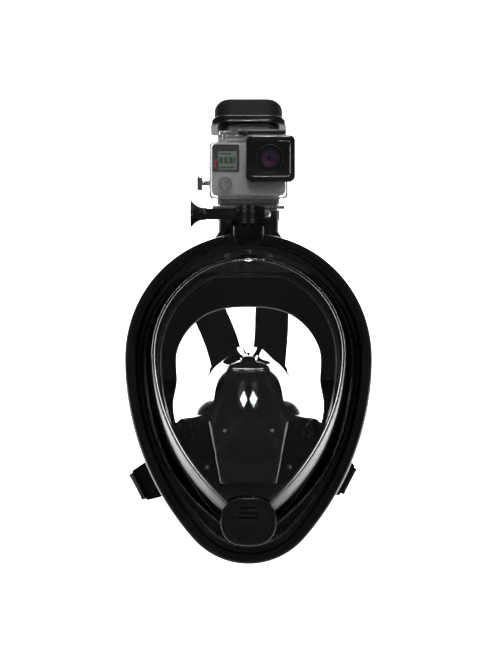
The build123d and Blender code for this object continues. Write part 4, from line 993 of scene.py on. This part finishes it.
def quilt(obj):
    """Press stitched channels into the pad's back, and keep it inside its own thickness."""
    for vertex in obj.data.vertices:
        x, y, z = vertex.co / MM
        channel = max(math.exp(-((x - place) / CHANNEL_HALF) ** 2) for place in CHANNELS_X)
        if y > PAD_Y + PAD_THICK / 2:
            y = y - CHANNEL_DEEP * channel
        y = min(max(y, PAD_Y + 0.1), PAD_Y + PAD_THICK + PAD_CLEAR)
        vertex.co = Vector((x, y, z)) * MM


make_pad()

# ---------- 6. CAD nodes
LENS_R = 0.0088  # metres
# The pink and purple rings are painted reflections: the coated lens's glints drawn into its colour.
LENS_REFLECTION_STOPS = [  # (share of the way from the rim to the middle, colour)
    (0.0, (0.002, 0.002, 0.003)), (0.18, (0.03, 0.012, 0.03)), (0.34, (0.35, 0.1, 0.2)),
    (0.5, (0.16, 0.07, 0.2)), (0.62, (0.45, 0.12, 0.25)), (0.75, (0.02, 0.01, 0.03)),
    (1.0, (0.003, 0.003, 0.006)),
]
SCREEN_GREEN, SCREEN_DARK, LAMP_RED = (0.3, 0.41, 0.31), (0.03, 0.06, 0.035), (0.4, 0.02, 0.03)
SCREEN_PANEL, LAMP_WINDOW = (-24, -9.4, 150, 164.6), (-28, -25.6, 151, 158.4)  # x0, x1, z0, z1
SCREEN_BLOCKS = [
    (-23, -14, 162.2, 163.4), (-23.2, -20.2, 155, 160), (-19.4, -16.4, 155, 160),
    (-15.4, -12.4, 155, 160), (-11.6, -10.6, 155, 160), (-23, -11.5, 151.2, 152.6),
]


def lens_material():
    """Coated front lens: dark at its middle and rim, with purple and red rings between that are
    painted reflections of its coating's glints.
    """
    material, tree, shader = new_material("lens_painted_reflection")
    middle = [(low + high) / 2 for low, high in zip(*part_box("lens_glass"))]
    centred = add_node(tree, "ShaderNodeMapping", {
        "Vector": coordinates(tree),
        "Location": (-middle[0] / LENS_R, 0, -middle[2] / LENS_R),
        "Scale": (1 / LENS_R, 0, 1 / LENS_R),
    })
    inputs = {"Vector": centred.outputs["Vector"]}
    ball = add_node(tree, "ShaderNodeTexGradient", inputs, gradient_type="SPHERICAL")
    smudges = add_noise(tree, 120.0, 4.0)
    plug(tree, shader, {
        "Base Color": colour_ramp(tree, ball.outputs["Fac"], LENS_REFLECTION_STOPS),
        "Roughness": map_range(tree, smudges, 0.02, 0.06),
        "Coat Weight": 1.0,
    })
    return material


def paint_box(tree, place, under, colour, box):
    """Paint a rectangle of colour, box = (x0, x1, z0, z1) in mm, over another colour."""
    x0, x1, z0, z1 = [edge * MM for edge in box]
    across = calculate(tree, "MULTIPLY", calculate(tree, "GREATER_THAN", place["X"], x0),
                       calculate(tree, "LESS_THAN", place["X"], x1))
    upwards = calculate(tree, "MULTIPLY", calculate(tree, "GREATER_THAN", place["Z"], z0),
                        calculate(tree, "LESS_THAN", place["Z"], z1))
    return mix_by(tree, calculate(tree, "MULTIPLY", across, upwards), under, colour)


def screen_material():
    """Small status screen: a green panel with plain blocks, and a red lamp window beside it."""
    material, tree, shader = new_material("screen_cover")
    smudges = add_noise(tree, 60.0, 5.0)
    colour = mottle(tree, smudges, (0.006, 0.006, 0.007), (0.012, 0.012, 0.013))
    place = axes_of_place(tree)
    boxes = [(SCREEN_GREEN, SCREEN_PANEL)] + [(SCREEN_DARK, box) for box in SCREEN_BLOCKS]
    for paint, box in boxes + [(LAMP_RED, LAMP_WINDOW)]:
        colour = paint_box(tree, place, colour, paint, box)
    plug(tree, shader, {
        "Base Color": colour,
        "Roughness": map_range(tree, smudges, 0.08, 0.16),
        "Coat Weight": 0.6,
    })
    return material


PORT_CENTRE, PORT_HALF = np.array([17.5, 158.6]), (15.4, 13.9)
LENS_CENTRE, HOLE_R, LIP_R = np.array([17.0, 159.0]), 10.9, 10.6
PANEL_Y, PANEL_THICK = -79.9, 0.4


def make_port_panel():
    """Dark panel behind the port's window, with a round hole for the lens."""
    angle = np.linspace(0, 2 * math.pi, 72, endpoint=False)
    way = np.stack([np.cos(angle), np.sin(angle)], axis=1)
    outer = way / np.max(np.abs(way) / PORT_HALF, axis=1)[:, None] + PORT_CENTRE
    inner = way * HOLE_R + LENS_CENTRE
    lip = way * LIP_R + LENS_CENTRE
    front = PANEL_Y - PANEL_THICK
    rings = [ring(outer, PANEL_Y), ring(outer, front), ring(inner, front),
             ring(lip, front + PANEL_THICK / 2), ring(lip, PANEL_Y)]
    points, faces = loft(rings)
    mesh_object("port_panel", points, faces, PANEL, "camera", (), sharp=40)


PANEL = moulded("port_panel_black", (0.010, 0.010, 0.013), (0.016, 0.016, 0.02), (0.3, 0.42), 1500,
                0.1)
make_port_panel()

SCREEN = screen_material()
GLOSS = moulded("gloss_black_moulding", (0.005, 0.005, 0.0055), (0.01, 0.01, 0.011),
                (0.1, 0.18), 900, 0.05, coat=0.3)
LENS = lens_material()

DRESS = {  # node: (material, rounding of its edges in mm)
    "rear_frame": (FRAME, 0.5), "frame_screws": (STEEL, 0.15), "pocket_studs": (STUD, 0.5),
    "drain_body": (DRAIN, 0.8), "drain_flap": (VALVE, 0.2), "drain_cover": (DRAIN, 0.35),
    "brow_plate": (BROW, 0.3), "brow_screws": (STEEL, 0.15), "snorkel_socket": (GLOSS, 0.9),
    "tube_gasket": (VALVE, 0.2), "tube_latch": (BLACK, 0.4), "snorkel_tube": (TUBE, 0.5),
    "cap_collar": (GLOSS, 0.5), "dry_top_cap": (CAP, 0.4), "valve_seat": (BLACK, 0.2),
    "float_ring": (FOAM, 0.4), "float_seal": (VALVE, 0.2), "camera_fork": (BLACK, 0.5),
    "captive_nut": (STEEL, 0.25), "thumb_screw": (KNOB, 0.4), "housing_shell": (HOUSING, 0.6),
    "housing_gasket": (VALVE, 0.3), "back_door": (HOUSING, 0.5), "door_hinge_pin": (STEEL, 0.2),
    "latch_ears": (BLACK, 0.3), "door_latch": (BLACK, 0.5), "lens_port_frame": (GLOSS, 0.6),
    "port_window": (WINDOW, 0.2), "camera_body": (CAMERA, 0.5), "lens_barrel": (BLACK, 0.35),
    "lens_glass": (LENS, 0.3), "camera_screen": (SCREEN, 0.2), "power_button": (STEEL, 0.4),
    "shutter_button": (STEEL, 0.3), "side_button": (STEEL, 0.5),
}
DRESS_BOTH_SIDES = {  # the same for the nodes that come right and left
    "inhale_seat": (BLACK, 0.3), "inhale_flap": (VALVE, 0.2), "exhale_flap": (VALVE, 0.2),
    "strap_anchor": (CLIP, 0.6), "clip_bracket": (CLIP, 0.4), "clip_pin": (STEEL, 0.2),
    "side_clip": (CLIP, 0.6), "strap_slider": (CLIP, 0.5),
}
for hand in ("right", "left"):
    DRESS.update({f"{name}_{hand}": look for name, look in DRESS_BOTH_SIDES.items()})
WELD_WITHIN = 0.00001  # metres
BEVEL_OVER = math.radians(35)


def dress(name, material, rounding):
    """Give a CAD node its material and softly rounded edges."""
    node = nodes[name]
    node.data.materials.clear()
    node.data.materials.append(material)
    add_modifier(node, "WELD", merge_threshold=WELD_WITHIN)
    add_modifier(node, "BEVEL", width=rounding * MM, segments=3, limit_method="ANGLE",
                 angle_limit=BEVEL_OVER, harden_normals=True)


for node_name, (node_material, node_rounding) in DRESS.items():
    dress(node_name, node_material, node_rounding)

# ---------- 7. stage
BACK_BRIGHT, BACK_DIM = 3.5, 1.2
BACK_HALF, BACK_Y, BACK_R, BACK_HIGH = 5.0, 3.8, 1.2, 5.0
FLOOR_Z, FLOOR_FROM_Y = -0.262, -3.6
FLOOR_SHADE = (0.12, 0.12, 0.122)


def backdrop_material():
    """White sweep, brightest straight behind the object; dark floor close in front of it."""
    material, tree, shader = new_material("backdrop_white")
    speck = add_noise(tree, 30.0, 3.0)
    paper = mottle(tree, speck, (0.9, 0.9, 0.9), (0.93, 0.93, 0.93))
    place = axes_of_place(tree)
    pale = map_range(tree, place["Y"], 0.0, 1.0, -0.3, -0.05)
    flat = add_node(tree, "ShaderNodeCombineXYZ", {"X": place["X"], "Z": place["Z"]})
    inputs = {0: flat.outputs["Vector"]}
    reach = add_node(tree, "ShaderNodeVectorMath", inputs, operation="LENGTH")
    strength = map_range(tree, reach.outputs["Value"], BACK_BRIGHT, BACK_DIM, 2.0, 3.4)
    behind = map_range(tree, place["Y"], 0.0, 1.0, -0.05, 0.05)
    above = map_range(tree, place["Z"], 0.4, 1.0, FLOOR_Z, -0.05)
    for factor in (behind, above):
        strength = calculate(tree, "MULTIPLY", strength, factor)
    plug(tree, shader, {
        "Base Color": mix_by(tree, pale, FLOOR_SHADE, paper),
        "Roughness": 0.9,
        "Emission Color": (1.0, 1.0, 1.0),
        "Emission Strength": strength,
    })
    return material


def make_stage():
    """Floor that curves up into a backdrop well behind the object."""
    level_to = BACK_Y - BACK_R
    profile = [(FLOOR_FROM_Y, FLOOR_Z), (-0.06, FLOOR_Z), (0.06, FLOOR_Z), (level_to, FLOOR_Z)]
    for turn in np.linspace(0, math.pi / 2, 17)[1:]:
        rise = BACK_R * (1 - math.cos(turn))
        profile.append((level_to + BACK_R * math.sin(turn), FLOOR_Z + rise))
    profile.append((BACK_Y, BACK_HIGH))
    points = [(x, y, z) for y, z in profile for x in (-BACK_HALF, BACK_HALF)]
    faces = [(i, i + 1, i + 3, i + 2) for i in range(0, len(points) - 2, 2)]
    mesh = bpy.data.meshes.new("backdrop")
    mesh.from_pydata(points, [], faces)
    mesh.materials.append(backdrop_material())
    mesh.shade_smooth()
    sweep = bpy.data.objects.new("backdrop", mesh)
    bpy.context.scene.collection.objects.link(sweep)


make_stage()


def soft_light(name, place, target, size, power, spread=180):
    """Rectangular softbox aimed at a point; spread is the angle of its beam in degrees."""
    light = bpy.data.lights.new(name, "AREA")
    light.shape = "RECTANGLE"
    light.size, light.size_y = size
    light.energy = power
    light.spread = math.radians(spread)
    obj = bpy.data.objects.new(name, light)
    obj.location = place
    direction = Vector(target) - Vector(place)
    obj.rotation_euler = direction.to_track_quat("-Z", "Y").to_euler()
    bpy.context.scene.collection.objects.link(obj)


soft_light("top_softbox", (0, -0.35, 1.3), (0, -0.03, 0.1), (0.5, 0.3), 6)
soft_light("left_panel", (-1.5, 0.75, -0.1), (0, -0.02, -0.02), (0.9, 0.8), 1.0)
soft_light("right_panel", (1.5, 0.75, -0.1), (0, -0.02, -0.02), (0.9, 0.8), 1.0)
# Two narrow beams: on the nose facets, and on the camera's front.
soft_light("high_square", (0, -1.4, 1.07), (0, -0.07, -0.03), (0.2, 0.2), 0.0075, spread=4)
soft_light("camera_fill", (0, -0.65, 0.52), (0, -0.07, 0.185), (0.3, 0.12), 0.038, spread=6)

world = bpy.data.worlds.new("studio")
world.use_nodes = True
glow = {"Color": (0.9, 0.92, 0.95), "Strength": 0.08}
plug(world.node_tree, world.node_tree.nodes["Background"], glow)
bpy.context.scene.world = world
bpy.context.scene.view_settings.view_transform = "Standard"

# ---------- 8. camera
CAMERA_DISTANCE, MASK_FRONT_Y = 3.0, -0.05
CAMERA_X, CAMERA_Z = -0.0004, 0.0212
CAMERA_LENS = 203.3
camera_data = bpy.data.cameras.new("camera")
camera_data.lens = CAMERA_LENS
camera = bpy.data.objects.new("camera", camera_data)
camera.location = (CAMERA_X, MASK_FRONT_Y - CAMERA_DISTANCE, CAMERA_Z)
camera.rotation_euler = (math.pi / 2, 0, 0)
bpy.context.scene.collection.objects.link(camera)
bpy.context.scene.camera = camera
